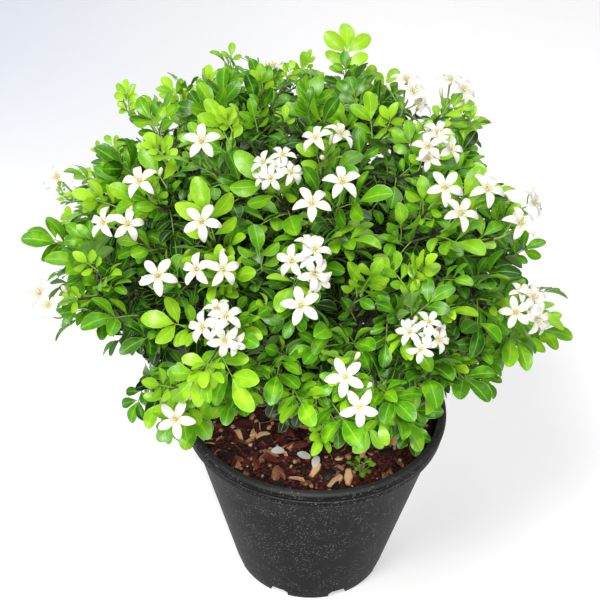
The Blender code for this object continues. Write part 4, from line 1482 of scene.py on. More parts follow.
def leaf_parts(plan):
    """The plan's rib and, for each leaflet, its foot, direction, upper side and length, all in place."""
    scale, pairs, droop, stagger = plan["scale"], plan["pairs"], plan["droop"], plan.get("stagger", 0.0)
    stations = rib_stations(scale, pairs)
    whole = stations[-1]
    turn = turn_to(plan["ahead"], plan["upper"])

    def rib_at(x, y=0.0):
        return Vector((x, y, -droop * (x / whole) ** 2 * whole))

    sizes, spreads, rise = leaflet_directions(scale, pairs, droop)
    parts = []
    for pair in range(pairs):
        for side in (1, -1):
            back = stagger * PAIR_STEP * scale if side < 0 else 0.0
            foot = rib_at(stations[2 * pair + 1] + LEAFLET_FOOT * scale / 2 - back, side * RIB_RADIUS)
            direction = Vector((math.cos(spreads[pair]), side * math.sin(spreads[pair]), rise))
            parts.append((foot, direction.normalized(), sizes[pair]))
    parts.append((rib_at(whole), Vector((1, 0, -1.6 * droop)).normalized(), LEAFLET_LENGTH * scale))
    leaflets = []
    for foot, direction, length in parts:
        normal = direction.cross(UP.cross(direction).normalized())
        leaflets.append((plan["root"] + turn @ foot, turn @ direction, turn @ normal, length))
    rib = [plan["root"] + turn @ rib_at(whole * share) for share in (0.0, 0.33, 0.67, 1.0)]
    return rib, leaflets


def leaf_test(leaflets):
    """The leaf's leaflets as plain sheets, for the test that it meets nothing."""
    corners, triangles = [], []
    for foot, along, normal, length in leaflets:
        across = normal.cross(along)
        first = len(corners)
        corners.append(foot)
        for reach, side, rise in LEAFLET_OUTLINE:
            offset = along * reach + (across * side + normal * rise) * LEAFLET_WIDTH
            corners.append(foot + offset * length)
        triangles += [(first, first + k, first + k + 1) for k in range(1, 5)]
    return corners, triangles


class Foliage:
    """Fine leaves between the solid ones, each clear of the rest, the blooms and the crown's limit."""

    def __init__(self, plant):
        self.room = plant["room"]
        self.rng = random.Random(FOLIAGE_SEED)
        flowers = [flower for bloom in plant["blooms"] for flower in bloom["flowers"]]
        self.places = np.array([flower[0] for flower in flowers])
        self.facings = np.array([flower[1] for flower in flowers])
        self.sights = np.array([(PHOTO_EYE - flower[0]).normalized() for flower in flowers])
        self.reaches = np.array([flower[3] for flower in flowers])
        self.count = 0

    def hides_bloom(self, points):
        """True where a point stands before a flower's face, or between it and the photograph's camera."""
        apart = np.array(points)[:, None, :] - self.places[None, :, :]
        for lines, depth in ((self.facings, 0.030), (self.sights, 0.200)):
            ahead = np.einsum("pfk,fk->pf", apart, lines)
            beside = np.linalg.norm(apart - ahead[:, :, None] * lines[None, :, :], axis=2)
            if np.any((ahead > -0.003) & (ahead < depth) & (beside < self.reaches * 0.80)):
                return True
        return False

    def is_inside(self, points, spare):
        """True where all the points lie in the crown and in the solids' box, and above the pot."""
        low, high = CAD_BOX
        for point in points:
            share = crown_share(point)
            limit = CROWN_LIMIT + (tuft_lift(share) if spare is None else spare)
            if share.length > limit or not in_outline(pixel_of(point)):
                return False
            if any(not low[i] + BOX_MARGIN < point[i] < high[i] - BOX_MARGIN for i in range(3)):
                return False
            if point.z < KEEP_ABOVE and point.xy.length < RIM_RADIUS + 0.004:
                return False
        return True

    def fits(self, plan, owner, spare):
        rib, leaflets = leaf_parts(plan)
        tips = [foot + along * length for foot, along, _, length in leaflets]
        middles = [foot + along * length * 0.6 for foot, along, _, length in leaflets]
        if not self.is_inside(tips + middles, spare) or self.hides_bloom(tips + middles):
            return False
        piece = leaf_test(leaflets)
        if not self.room.is_free(piece, touching=(owner,), clearance=0.0):
            return False
        self.count += 1
        self.room.add(piece, f"fine leaf {self.count}")
        return True

    def grow(self, line, place, outward, owner, leaves, first, older=0.0, spare=None, small=1.0):
        """The leaves of one shoot, from its tip down: each turned on from the last, and each lower one more
        aged. A deeper layer's leaves are made darker too, as ageing and painted shade.
        """
        rng = self.rng
        length = sum((b - a).length for a, b in zip(line, line[1:]))
        phase = rng.uniform(0, 2 * math.pi)
        # A deeper layer's leaves are made darker: partly older leaves, partly painted shade.
        vigour = rng.uniform(-0.20, 0.22) + older
        least, most = LEAF_SCALES
        size = rng.uniform(0.85, 1.12)
        plans = []
        for number in range(leaves):
            share = first - number * LEAF_STEP * rng.uniform(0.85, 1.2) / length
            if share < 0.12:
                break
            root, ahead = along_path(line, share)
            level = ahead.orthogonal().normalized()
            for attempt in range(LEAF_ATTEMPTS):
                turn = phase + GOLDEN_TURN * number + attempt * rng.uniform(-1.0, 1.0)
                side = Matrix.Rotation(turn, 3, ahead) @ level
                open_out = min(0.30 + 0.24 * number, 1.5) * rng.uniform(0.8, 1.25)
                towards = (place - root).normalized() if number == 0 else ahead
                direction = (towards + side * open_out + UP * 0.12 + outward * 0.25).normalized()
                upper = UP * rng.uniform(0.4, 1.3) + outward * rng.uniform(0.0, 0.9)
                upper += Vector([rng.uniform(-0.45, 0.45) for _ in range(3)])
                if abs(upper.normalized().dot(direction)) > 0.9:
                    upper += (PHOTO_EYE - root).normalized()
                plan = {"root": root, "ahead": direction, "upper": upper,
                        "pairs": rng.choice(LEAF_PAIRS), "droop": rng.uniform(0.05, 0.34),
                        "scale": rng.uniform(least, most) * size * small * (0.8 if number == 0 else 1.0),
                        "stagger": rng.uniform(0.15, 0.45), "vigour": vigour, "order": number}
                if self.fits(plan, owner, spare):
                    plans.append(plan)
                    break
        return plans


def drawn_in(plan):
    """A solid leaf's plan, smaller towards the top and where it would pass the photograph's outline."""
    plan = dict(plan)
    share = crown_share(plan["root"])
    height = clamped((share.z + 0.3) / 0.9)
    x, y = pixel_of(plan["root"])
    left, right, foot = TALL_SPRIG
    if left < x < right and y < foot:
        height = 0.0
    plan["scale"] *= LEAF_SCALE_LOW + (LEAF_SCALE_HIGH - LEAF_SCALE_LOW) * height
    for _ in range(5):
        leaflets = leaf_parts(plan)[1]
        if all(in_outline(pixel_of(foot + along * length * 0.9)) for foot, along, _, length in leaflets):
            break
        plan["scale"] *= 0.92
    return plan


def leaf_age_and_shade(plan):
    """0 for a leaf just opened, 1 for an old one in deep shade: by its depth in the crown, its place down the
    shoot and how low under the crown it hangs. Depth darkens it as ageing and painted shade, and hanging
    under the crown darkens it as painted shade.
    """
    share = crown_share(plan["root"] + plan["ahead"] * LEAF_REACH * 0.6)
    # Painted shade and ageing: leaves deeper in the crown are darker.
    depth = clamped((1.0 - share.length) / DARKEST_DEPTH)
    # Painted shade: leaves low under the crown are darker.
    under = clamped((-0.15 - share.z) * 0.5, 0.0, SHADE_UNDER_CROWN)
    by_order = AGE_BY_ORDER * plan.get("order", 1)
    return clamped(AGE_LEAST + AGE_AND_SHADE_BY_DEPTH * depth + by_order + under + plan.get("vigour", 0.0))


def add_leaf(bed, plan, rng):
    """Adds a leaf's rib and leaflets to a bed."""
    rib, leaflets = leaf_parts(plan)
    # The leaf's darkness holds its ageing and the painted shade of its depth and its place under the crown,
    # and its rib takes a share of it.
    age = leaf_age_and_shade(plan)
    bed.stem(rib, tapered(RIB_RADIUS, 1.3, 0.7), age * 0.30)
    for foot, along, normal, length in leaflets:
        roll = Matrix.Rotation(rng.uniform(-0.22, 0.22), 3, along)
        width = length * rng.uniform(0.84, 1.0)
        bed.blade(foot, along, roll @ normal, (length, width, length), rng.randrange(len(LEAFLET_MODELS)),
                  clamped(age + rng.uniform(-0.05, 0.05)), rng.random())


def twig_carriers(plant):
    """Every twig that can carry a shoot, with its spray's number."""
    return [(number, tip) for number, spray in enumerate(plant["sprays"])
            for tip in spray["tips"] if tip.line]


def nearest_twig(carriers, end):
    """The spray and twig whose line passes nearest to a place, and the point and direction there."""
    starts = []
    for owner, tip in carriers:
        for share in TWIG_STATIONS:
            point, ahead = along_path(tip.line, share)
            if (end - point).length > LEAST_SHOOT:
                starts.append(((end - point).length, owner, tip.twig_name, point, ahead))
    return min(starts, key=lambda entry: entry[0])[1:]


def top_sprigs(plant):
    """Small upright sprigs along the crown's top outline, each off the nearest twig."""
    carriers = twig_carriers(plant)
    sprigs = []
    for pixel in PHOTO_SPRIGS:
        ray = photo_ray(pixel)
        places = [PHOTO_EYE + ray * (SPRIG_NEAREST + SPRIG_SEARCH_STEP * step)
                  for step in range(SPRIG_SEARCH_STEPS)]
        places = [point for point in places if point.z < SPRIG_TOP]
        place = min(places, key=lambda point: crown_share(point).length)
        outward = crown_outward(place)
        end = place - UP * SPRIG_LIFT
        owner, twig_name, point, ahead = nearest_twig(carriers, end)
        leave = (ahead + (end - point).normalized()).normalized()
        line = bend(point, leave, end, (UP + outward * 0.4).normalized(), FINE_STEPS)
        sprigs.append((owner, twig_name, line, place, outward))
    return sprigs


def side_shoots(plant, layer, spacing, rng):
    """More leafy shoots, each off the nearest twig, wherever a layer of the crown has none near."""
    tries, depths, apart = layer
    carriers = twig_carriers(plant)
    taken = [tip.place for _, tip in carriers]
    shoots = []
    for number in range(tries):
        direction = even_direction(number, tries, SHOOT_LOWEST)
        place = crown_place(direction * (rng.uniform(*depths) + tuft_lift(direction)))
        if any((other - place).length < spacing * apart for other in taken):
            continue
        if not in_outline(pixel_of(place)):
            continue
        outward = crown_outward(place)
        end = place - outward * LEAF_REACH * rng.uniform(0.4, 0.75)
        owner, twig_name, point, ahead = nearest_twig(carriers, end)
        towards = (end - point).normalized()
        leave = (ahead + towards).normalized()
        line = bend(point, leave, end, outward.lerp(towards, 0.35).normalized(), FINE_STEPS)
        taken.append(place)
        shoots.append((owner, twig_name, line, place, outward))
    return shoots


# Operators

class JASMINE_OT_pot(bpy.types.Operator):
    """Makes the round moulded pot: tapered wall, banded rim and drainage notches in its foot"""
    bl_idname = "jasmine.pot"
    bl_label = "Pot"

    def execute(self, context):
        settings = context.scene.jasmine_pot
        profile = rounded(pot_profile(), settings.rounding)
        pot = turned_body("nursery_pot", profile, settings.sides, pot_finish())
        cutters = bpy.data.collections.new("notch_cutters")
        for number in range(NOTCHES):
            cutter = add_object(f"notch_cutter_{number}", *notch_cutter(number), pot_finish())
            context.scene.collection.objects.unlink(cutter)
            cutters.objects.link(cutter)
        cut = pot.modifiers.new("notches", "BOOLEAN")
        cut.operation = "DIFFERENCE"
        cut.solver = "EXACT"
        cut.operand_type = "COLLECTION"
        cut.collection = cutters
        baked(pot, cut)
        drop_shapes(cutters)
        pot.data.shade_smooth()
        pot.data.set_sharp_from_angle(angle=CREASE_ANGLE)
        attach(pot, BODY)
        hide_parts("pot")
        return {"FINISHED"}


def wall_radius(height):
    """Outer radius of the pot's tapered wall at a height."""
    share = height / (POT_HEIGHT - RIM_BAND)
    return FOOT_RADIUS + (SHOULDER_RADIUS - FOOT_RADIUS) * share


def mix_edge():
    """Outer radius of the mix at the lowest level of its edge."""
    return wall_radius(MIX_LEVEL - MIX_RELIEF) - WALL - GAP


def pot_profile():
    """The pot's section as (radius, height) points: under its floor, up its outside, down its inside."""
    top = POT_HEIGHT
    shoulder = top - RIM_BAND
    return [
        (0.0, 0.0),
        (FOOT_RADIUS, 0.0),
        *((wall_radius(height), height) for height in WALL_RINGS),
        (wall_radius(shoulder), shoulder),
        (RIM_RADIUS - 0.0022, shoulder - 0.0008),
        (RIM_RADIUS - 0.0016, top - RIM_BAND * 0.58),
        (RIM_RADIUS - 0.0038, top - RIM_BAND * 0.54),
        (RIM_RADIUS - 0.0036, top - RIM_BAND * 0.47),
        (RIM_RADIUS - 0.0002, top - RIM_BAND * 0.40),
        (RIM_RADIUS, top - RIM_BAND * 0.30),
        (RIM_RADIUS - 0.0006, top - 0.0016),
        (RIM_RADIUS - 0.0030, top),
        (RIM_RADIUS - RIM_LIP - 0.0042, top - 0.0012),
        (wall_radius(shoulder) - WALL, shoulder),
        (wall_radius(POT_FLOOR) - WALL, POT_FLOOR),
        (0.0, POT_FLOOR),
    ]


def rounded(profile, radius):
    """The profile with a short arc in place of each of its corners."""
    points = [Vector(point) for point in profile]
    result = [points[0]]
    for before, corner, after in zip(points, points[1:], points[2:]):
        ends = []
        for other in (before, after):
            away = other - corner
            ends.append(corner + away.normalized() * min(radius, away.length * 0.42))
        for t in (0.0, 0.33, 0.67, 1.0):
            result.append(ends[0] * (1 - t) ** 2 + corner * 2 * t * (1 - t) + ends[1] * t * t)
    return result + [points[-1]]


def turned_body(name, profile, sides, material, lift=None):
    """A body turned about the Z axis from a profile that runs up its outside. lift raises its points."""
    rings, corners = [], []
    for radius, height in profile:
        count = sides if radius > 0 else 1
        rings.append(range(len(corners), len(corners) + count))
        for side in range(count):
            corner = on_circle(2 * math.pi * side / sides, radius, height)
            if lift:
                corner.z += lift(corner)
            corners.append(corner)
    faces = []
    for lower, upper in zip(rings, rings[1:]):
        for side in range(sides):
            here, after = side, (side + 1) % sides
            around = [lower[here % len(lower)], lower[after % len(lower)],
                      upper[after % len(upper)], upper[here % len(upper)]]
            faces.append(tuple(dict.fromkeys(around)))
    return add_object(name, corners, faces, material)


def notch_cutter(number):
    """A block that cuts one drainage notch through the corner of the foot."""
    turn = NOTCH_TURN + 2 * math.pi * number / NOTCHES
    half, height, below = NOTCH_WIDTH / 2, NOTCH_HEIGHT, -NOTCH_HEIGHT / 2
    outline = ((-half, below), (half, below), (half, height * 0.6), (half * 0.6, height),
               (-half * 0.6, height), (-half, height * 0.6))
    ahead = on_circle(turn)
    across = Vector((-math.sin(turn), math.cos(turn), 0))
    near, far = ([ahead * reach + across * y + UP * z for y, z in outline]
                 for reach in (FOOT_RADIUS - 0.014, FOOT_RADIUS + 0.012))
    count = len(near)
    faces = [tuple(reversed(range(count))), tuple(range(count, 2 * count))]
    faces += [(i, (i + 1) % count, (i + 1) % count + count, i + count) for i in range(count)]
    return near + far, faces


def mix_lump(lumps, x, y):
    """How far the solid mix's top stands above or below its middle level at a place."""
    radius = math.hypot(x, y)
    radii = (mix_edge(), *MIX_RINGS, TRUNK_HOLE_RADIUS)
    heights = [[-MIX_RELIEF] * MIX_SIDES, *lumps, [0.0] * MIX_SIDES]
    around = (math.atan2(y, x) / (2 * math.pi)) % 1.0 * MIX_SIDES
    side, across = int(around) % MIX_SIDES, around % 1.0
    levels = [ring[side] * (1 - across) + ring[(side + 1) % MIX_SIDES] * across for ring in heights]
    return float(np.interp(-radius, [-value for value in radii], levels))


def mix_body(lumps):
    """The damp mix: its top follows the solid mix's lumps, with a finer grain over them."""
    bottom, outer = POT_FLOOR + GAP, mix_edge()
    profile = [(0.0, bottom), (wall_radius(bottom) - WALL - GAP, bottom), (outer, MIX_LEVEL - MIX_RELIEF)]
    for number in range(1, MIX_STEPS):
        radius = outer + (TRUNK_HOLE_RADIUS + 0.0008 - outer) * number / MIX_STEPS
        profile.append((radius, MIX_LEVEL))
    for height in (MIX_LEVEL, TRUNK_HOLE_FLOOR):
        profile.append((TRUNK_HOLE_RADIUS, height))
    profile.append((0.0, TRUNK_HOLE_FLOOR))

    def lift(corner):
        if corner.z < MIX_LEVEL - GAP or corner.xy.length < TRUNK_HOLE_RADIUS + GAP:
            return 0.0
        fine = sum(noise.noise(corner * scale) * height for scale, height in MIX_GRAIN)
        return mix_lump(lumps, corner.x, corner.y) + fine

    return turned_body("damp_mix", profile, MIX_TURNS, mix_finish(), lift)


def scatter_chips(bed, lumps, settings, rng):
    """Scatters the chips and then the crumbs over the mix, none of them past its edge."""
    reach = mix_edge() - EDGE_ROOM
    for number in range(settings.chips + settings.crumbs):
        turn = rng.uniform(0, 2 * math.pi)
        radius = reach * math.sqrt(rng.uniform(0.006, 1.0))
        x, y = radius * math.cos(turn), radius * math.sin(turn)
        if number < settings.chips:
            length = settings.chip_size * rng.uniform(0.5, 1.7)
            size = Vector((length, length * rng.uniform(0.35, 0.62), length * rng.uniform(0.20, 0.45)))
            shape = rng.choice(CHIP_SHAPES)
        else:
            length = settings.chip_size * rng.uniform(0.18, 0.42)
            size = Vector((length, length * rng.uniform(0.6, 1.0), length * rng.uniform(0.4, 0.8)))
            shape = CRUMB_SHAPE
        size *= min(1.0, (reach + EDGE_ROOM - radius) / (0.55 * size.x))
        height = MIX_LEVEL + (mix_lump(lumps, x, y) + rng.uniform(0.0, 0.30) * length)
        heading = rng.uniform(0, 2 * math.pi)
        ahead = on_circle(heading, 1.0, rng.uniform(-0.4, 0.4))
        upper = Vector((rng.uniform(-0.5, 0.5), rng.uniform(-0.5, 0.5), 1.0))
        tint = rng.choice(CHIP_TINTS) + rng.uniform(-0.08, 0.08)
        bed.blade(Vector((x, y, height)), ahead, upper, size, shape, tint=tint)


def scatter_fibres(bed, lumps, count, rng):
    """Lays loose husk fibres on the mix, each a short wandering line."""
    reach = mix_edge() - EDGE_ROOM
    for _ in range(count):
        turn = rng.uniform(0, 2 * math.pi)
        start = on_circle(turn, (reach - 0.012) * math.sqrt(rng.uniform(0.02, 1.0)))
        heading = rng.uniform(0, 2 * math.pi)
        length = rng.uniform(0.010, 0.024)
        path = []
        for step in range(FIBRE_STEPS):
            point = start + on_circle(heading) * length * (step / (FIBRE_STEPS - 1) - 0.5)
            heading += rng.uniform(-0.3, 0.3)
            if point.xy.length > reach:
                point *= reach / point.xy.length
            lump = mix_lump(lumps, point.x, point.y)
            point.z = MIX_LEVEL + lump + 0.0032 + rng.uniform(0, 0.0015)
            path.append(point)
        bed.stem(path, FIBRE_RADII, tint=rng.uniform(0.3, 0.8))


def chip_shapes():
    """A flat flake, a curled flake, a long chunk and a short one."""
    return shape_set("chip", [
        blade_mesh("flake_flat", (0.2, 0.5, 0.8),
                   half_width=lambda share, side: 0.5 * math.sin(math.pi * share) ** 0.4,
                   rise=lambda share: 0.25 * math.sin(math.pi * share),
                   rim=lambda share, side: 0.12 * side, thickness=0.55),
        blade_mesh("flake_curled", (0.15, 0.45, 0.85),
                   half_width=lambda share, side: (0.42 + 0.12 * side) * (1 - share * 0.5),
                   rise=lambda share: 0.3 * math.sin(3.4 * share),
                   rim=lambda share, side: 0.5 - 0.2 * share, thickness=0.4),
        slab_mesh("chunk_long", ((-0.5, -0.25), (0.0, -0.45), (0.5, -0.2), (0.46, 0.3), (-0.1, 0.42),
                                 (-0.45, 0.2))),
        slab_mesh("chunk", ((-0.5, -0.2), (0.1, -0.5), (0.5, -0.1), (0.3, 0.45), (-0.35, 0.4))),
    ])


class JASMINE_OT_mix(bpy.types.Operator):
    """Makes the growing mix: its lumpy damp top, husk chips, crumbs and loose fibres"""
    bl_idname = "jasmine.mix"
    bl_label = "Growing mix"

    def execute(self, context):
        settings = context.scene.jasmine_mix
        plant = grown_plant()
        mix = mix_body(plant["lumps"])
        mix.data.shade_smooth()
        mix.data.set_sharp_from_angle(angle=MIX_CREASE)
        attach(mix, BODY)
        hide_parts("growing_mix")
        bed = Bed()
        rng = random.Random(FOLIAGE_SEED + 1)
        for place, ahead, upper, size in plant["chips"]:
            bed.blade(place, ahead, upper, size, rng.choice((0, 1, 2)), tint=rng.uniform(0.15, 0.95))
        scatter_chips(bed, plant["lumps"], settings, rng)
        scatter_fibres(bed, plant["lumps"], settings.fibres, rng)
        shapes = chip_shapes()
        chips = grown_piece("husk_chips", bed, shapes, chip_finish(), chip_finish(), sides=4, spread=0.1)
        drop_shapes(shapes)
        chips.data.set_sharp_from_angle(angle=CHIP_CREASE)
        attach(chips, BODY)
        return {"FINISHED"}


def slab_mesh(name, outline):
    """A closed chip of husk from its outline, with worn edges."""
    count = len(outline)
    corners, marks = [], []
    for height, share in ((-0.5, 0.84), (-0.22, 1.0), (0.26, 0.98), (0.5, 0.78)):
        for x, y in outline:
            corners.append(Vector((x * share, y * share, height)))
            marks.append((x + 0.5, y + 0.5))
    faces = [tuple(reversed(range(count))), tuple(range(3 * count, 4 * count))]
    for ring in range(3):
        low = ring * count
        faces += [(low + i, low + (i + 1) % count, low + (i + 1) % count + count, low + i + count)
                  for i in range(count)]
    return shape_mesh(name, corners, faces, marks)


class JASMINE_OT_stems(bpy.types.Operator):
    """Makes the trunk, the main stems and the branches that carry the sprays"""
    bl_idname = "jasmine.stems"
    bl_label = "Woody stems"

    def execute(self, context):
        bed = Bed()
        for line, radii in grown_plant()["lines"]:
            bed.stem(line, radii, age=1.0)
        shapes = shape_set("none", [leaflet_mesh(0, 0.1, 0.0, 0.0)])
        stems = grown_piece("bark_stems", bed, shapes, bark_finish(), bark_finish(), sides=12)
        drop_shapes(shapes)
        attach(stems, BODY)
        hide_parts("woody_stems")
        return {"FINISHED"}


def add_shoot(beds, foliage, shoot, leaves, radii, bark, **growth):
    """Adds a shoot's stem and leaves to its spray's bed, if any leaf finds room."""
    owner, twig_name, line, place, outward = shoot
    plans = foliage.grow(line, place, outward, twig_name, leaves, SHOOT_TIP, **growth)
    if plans:
        beds[owner].stem(line, radii, age=bark)
    for plan in plans:
        add_leaf(beds[owner], plan, foliage.rng)


class JASMINE_OT_sprays(bpy.types.Operator):
    """Makes each leafy spray: its twigs, the leaves of its solids and the finer leaves between them"""
    bl_idname = "jasmine.sprays"
    bl_label = "Leafy sprays"

    def execute(self, context):
        settings = context.scene.jasmine_foliage
        plant = grown_plant()
        foliage = Foliage(plant)
        rng = foliage.rng
        shapes = leaflet_shapes("leaflet")
        beds = [Bed() for _ in plant["sprays"]]
        for bed, spray in zip(beds, plant["sprays"]):
            start = spray["hub"] + spray["outward"] * GAP
            end = spray["hub"] + spray["outward"] * STUB_LENGTH
            bed.stem([start, end], tapered(TWIG_RADIUS, 1.5, 1.3), age=0.95)
            for plan in spray["leaves"]:
                plan = drawn_in(plan)
                plan["vigour"] = rng.uniform(-0.08, 0.30)
                add_leaf(bed, plan, rng)
            for tip in spray["tips"]:
                if tip.line is None:
                    continue
                bed.stem(tip.line, tapered(TWIG_RADIUS, 1.15, 0.75), age=0.75)
                first = 0.93 if tip.flowers else SHOOT_TIP
                plans = foliage.grow(tip.line, tip.place, tip.outward, tip.twig_name, settings.leaves,
                                     first, spare=BLOOM_SPARE)
                for plan in plans:
                    add_leaf(bed, plan, rng)
        for layer in SHOOT_LAYERS:
            for shoot in side_shoots(plant, layer, settings.spacing, rng):
                radii = tapered(TWIG_RADIUS, 0.8, 0.45)
                add_shoot(beds, foliage, shoot, settings.leaves, radii, 0.6, older=layer[2] - 1.0)
        for sprig in top_sprigs(plant):
            radii = tapered(TWIG_RADIUS, 0.7, 0.4)
            add_shoot(beds, foliage, sprig, SPRIG_LEAVES, radii, 0.3, spare=SPRIG_SPARE, small=SPRIG_SCALE)
        for number, bed in enumerate(beds):
            node = f"spray_{number + 1:02d}"
            spray = grown_piece("leafy_" + node, bed, shapes, leaf_finish(), twig_finish(), sides=5,
                                seed=number)
            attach(spray, BODY)
            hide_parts(node)
        drop_shapes(shapes)
        return {"FINISHED"}


def petal_half_width(share):
    """Half a petal's width in shares of the flower's radius: oblong, drawn to a point."""
    return 0.25 * math.sin(math.pi * share) ** 0.60


def petal_mesh(number, curl, twist):
    """One model of petal: rising from the heart, then bent back at its point."""
    def ripple(share, side):
        return 0.28 + 0.1 * math.sin(7 * share + 2 * side + number)

    return blade_mesh(
        f"petal_{number}", PETAL_STATIONS,
        half_width=lambda share, side: petal_half_width(share) * (1 + side * twist),
        rise=lambda share: 0.28 * math.sin(2.4 * share) - curl * share ** 3,
        rim=lambda share, side: petal_half_width(share) * ripple(share, side),
        thickness=PETAL_THICKNESS)


def add_flower(bed, place, facing, petal_up, radius, stamens, rng, open_by=1.0):
    """Adds one flower to a bed: petals, heart, stamens and calyx. open_by is 1 for one wide open."""
    aside = facing.cross(petal_up)
    tint = rng.random()
    for petal in range(PETALS):
        level = swung(petal_up, aside, 2 * math.pi * petal / PETALS + rng.uniform(-0.05, 0.05))
        ahead = level * open_by + facing * (rng.uniform(-0.12, 0.10) + 1.6 * (1 - open_by))
        upper = facing - level * (1 - open_by)
        bed.blade(place + level * radius * 0.05, ahead, upper, (radius * 0.92,) * 3,
                  rng.randrange(HEART_SHAPE), tint=tint)
    bed.blade(place - facing * radius * 0.02, facing, petal_up, (radius * 0.62,) * 3, HEART_SHAPE)
    for stamen in range(stamens):
        out = swung(petal_up, aside, 2 * math.pi * (stamen + rng.uniform(-0.2, 0.2)) / stamens)
        direction = facing + out * rng.uniform(0.35, 0.62)
        bed.blade(place + out * radius * 0.04, direction, out, (radius * rng.uniform(0.36, 0.48),) * 3,
                  STAMEN_SHAPE, tint=rng.random())
    bed.blade(place - facing * radius * 0.30, facing, petal_up, (radius * 0.30,) * 3, CALYX_SHAPE)


def bloom_shapes():
    """Three petals, then the heart, a stamen, a bud and a calyx."""
    petals = [petal_mesh(number, *model) for number, model in enumerate(PETAL_MODELS)]
    return shape_set("bloom", petals + [turned_mesh(name, points, sides)
                                        for name, sides, points in FLOWER_PARTS])


def drawn_together(flower, tip, foot):
    """A solid flower's place in a tighter cluster, turned a little if it would show the camera its edge."""
    place, facing, petal_up, radius = flower
    place = tip.place.lerp(place, CLUSTER_SHARE)
    seen = pixel_of(place)
    near = min(math.hypot(seen[0] - bloom[0], seen[1] - bloom[1]) for bloom in PHOTO_BLOOMS)
    if near > STRAY_BLOOM or not in_outline(seen):
        place = foot.lerp(place, SHORT_STALK)
    towards = (PHOTO_EYE - place).normalized()
    if facing.dot(towards) < 0.5:
        facing = facing.lerp(towards, 0.4).normalized()
    petal_up = (petal_up - facing * petal_up.dot(facing)).normalized()
    return place, facing, petal_up, radius


def flowers_between(flowers, tip):
    """Smaller flowers, one just opening in the middle and the rest behind, that close up a cluster."""
    if tip.flowers < 3:
        return []
    _, _, petal_up, radius = flowers[0]
    across = (petal_up - tip.facing * petal_up.dot(tip.facing)).normalized()
    above = tip.facing.cross(across)
    middle = sum((flower[0] for flower in flowers), Vector()) / len(flowers)
    added = [(middle - tip.facing * 0.001, tip.facing, across, radius * 0.80, 0.60)]
    for number in range(2):
        turn = 0.9 + number * 2.4 + tip.flowers
        aside = swung(across, above, turn)
        facing = (tip.facing + aside * 0.7).normalized()
        place = middle + aside * radius - tip.facing * 0.007
        level = (above - facing * above.dot(facing)).normalized()
        added.append((place, facing, level, radius * 0.82, 0.85))
    return added


class JASMINE_OT_blooms(bpy.types.Operator):
    """Makes each bloom: open flowers with their stamens, buds and green stalks"""
    bl_idname = "jasmine.blooms"
    bl_label = "Blooms"

    def execute(self, context):
        settings = context.scene.jasmine_bloom
        rng = random.Random(FOLIAGE_SEED + 2)
        shapes = bloom_shapes()
        for bloom in grown_plant()["blooms"]:
            bed = Bed()
            fork, neck, foot, tip = (bloom[part] for part in ("fork", "neck", "foot", "tip"))
            flowers = [drawn_together(flower, tip, foot) for flower in bloom["flowers"]]
            for place, facing, petal_up, radius, open_by in flowers_between(flowers, tip):
                add_flower(bed, place, facing, petal_up, radius, settings.stamens, rng, open_by)
                back = place - facing * radius * 0.30
                stalk = bend(fork, (place - fork).normalized(), back, facing, FINE_STEPS)
                bed.stem(stalk, tapered(STALK_RADIUS, 0.8, 0.7), STALK_AGE)
            for place, facing, petal_up, radius in flowers:
                add_flower(bed, place, facing, petal_up, radius, settings.stamens, rng)
                back = place - facing * radius * 0.34
                start, leave = (foot, neck - foot) if tip.flowers == 1 else (fork, place - fork)
                stalk = bend(start, leave.normalized(), back, facing, FINE_STEPS)
                bed.stem(stalk, tapered(STALK_RADIUS, 1.0, 0.8), STALK_AGE)
            if tip.flowers > 1:
                bed.stem([foot, neck, fork], tapered(STALK_RADIUS, 1.1, 1.0), 0.18)
            add_buds(bed, bloom, rng)
            piece = grown_piece("open_" + bloom["name"], bed, shapes, petal_finish(), twig_finish(),
                                spread=0.02)
            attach(piece, BODY)
            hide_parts(bloom["name"])
        drop_shapes(shapes)
        return {"FINISHED"}


def add_buds(bed, bloom, rng):
    """Adds a few buds between and behind a bloom's flowers."""
    tip, fork = bloom["tip"], bloom["fork"]
    radius = FLOWER_RADIUS[tip.flowers]
    across = tip.facing.cross(UP).normalized()
    above = across.cross(tip.facing)
    for number in range(rng.choice((0, 1, 1)) if tip.flowers == 1 else rng.choice((1, 2, 2, 3))):
        turn = 2 * math.pi * (number + 0.5) / max(tip.flowers, 2) + 0.5
        aside = swung(across, above, turn)
        length = rng.uniform(0.008, 0.012)
        out = (tip.facing + aside * rng.uniform(0.5, 0.9)).normalized()
        start = tip.place + aside * radius * 0.95 - tip.facing * rng.uniform(0.004, 0.012)
        if crown_share(start + out * length).length > CROWN_LIMIT:
            start -= out * length
        bed.blade(start, out, aside, (length,) * 3, BUD_SHAPE, tint=rng.random())
        stalk = bend(fork, (start - fork).normalized(), start, out, 5)
        bed.stem(stalk, tapered(STALK_RADIUS, 0.8, 0.7), 0.15)


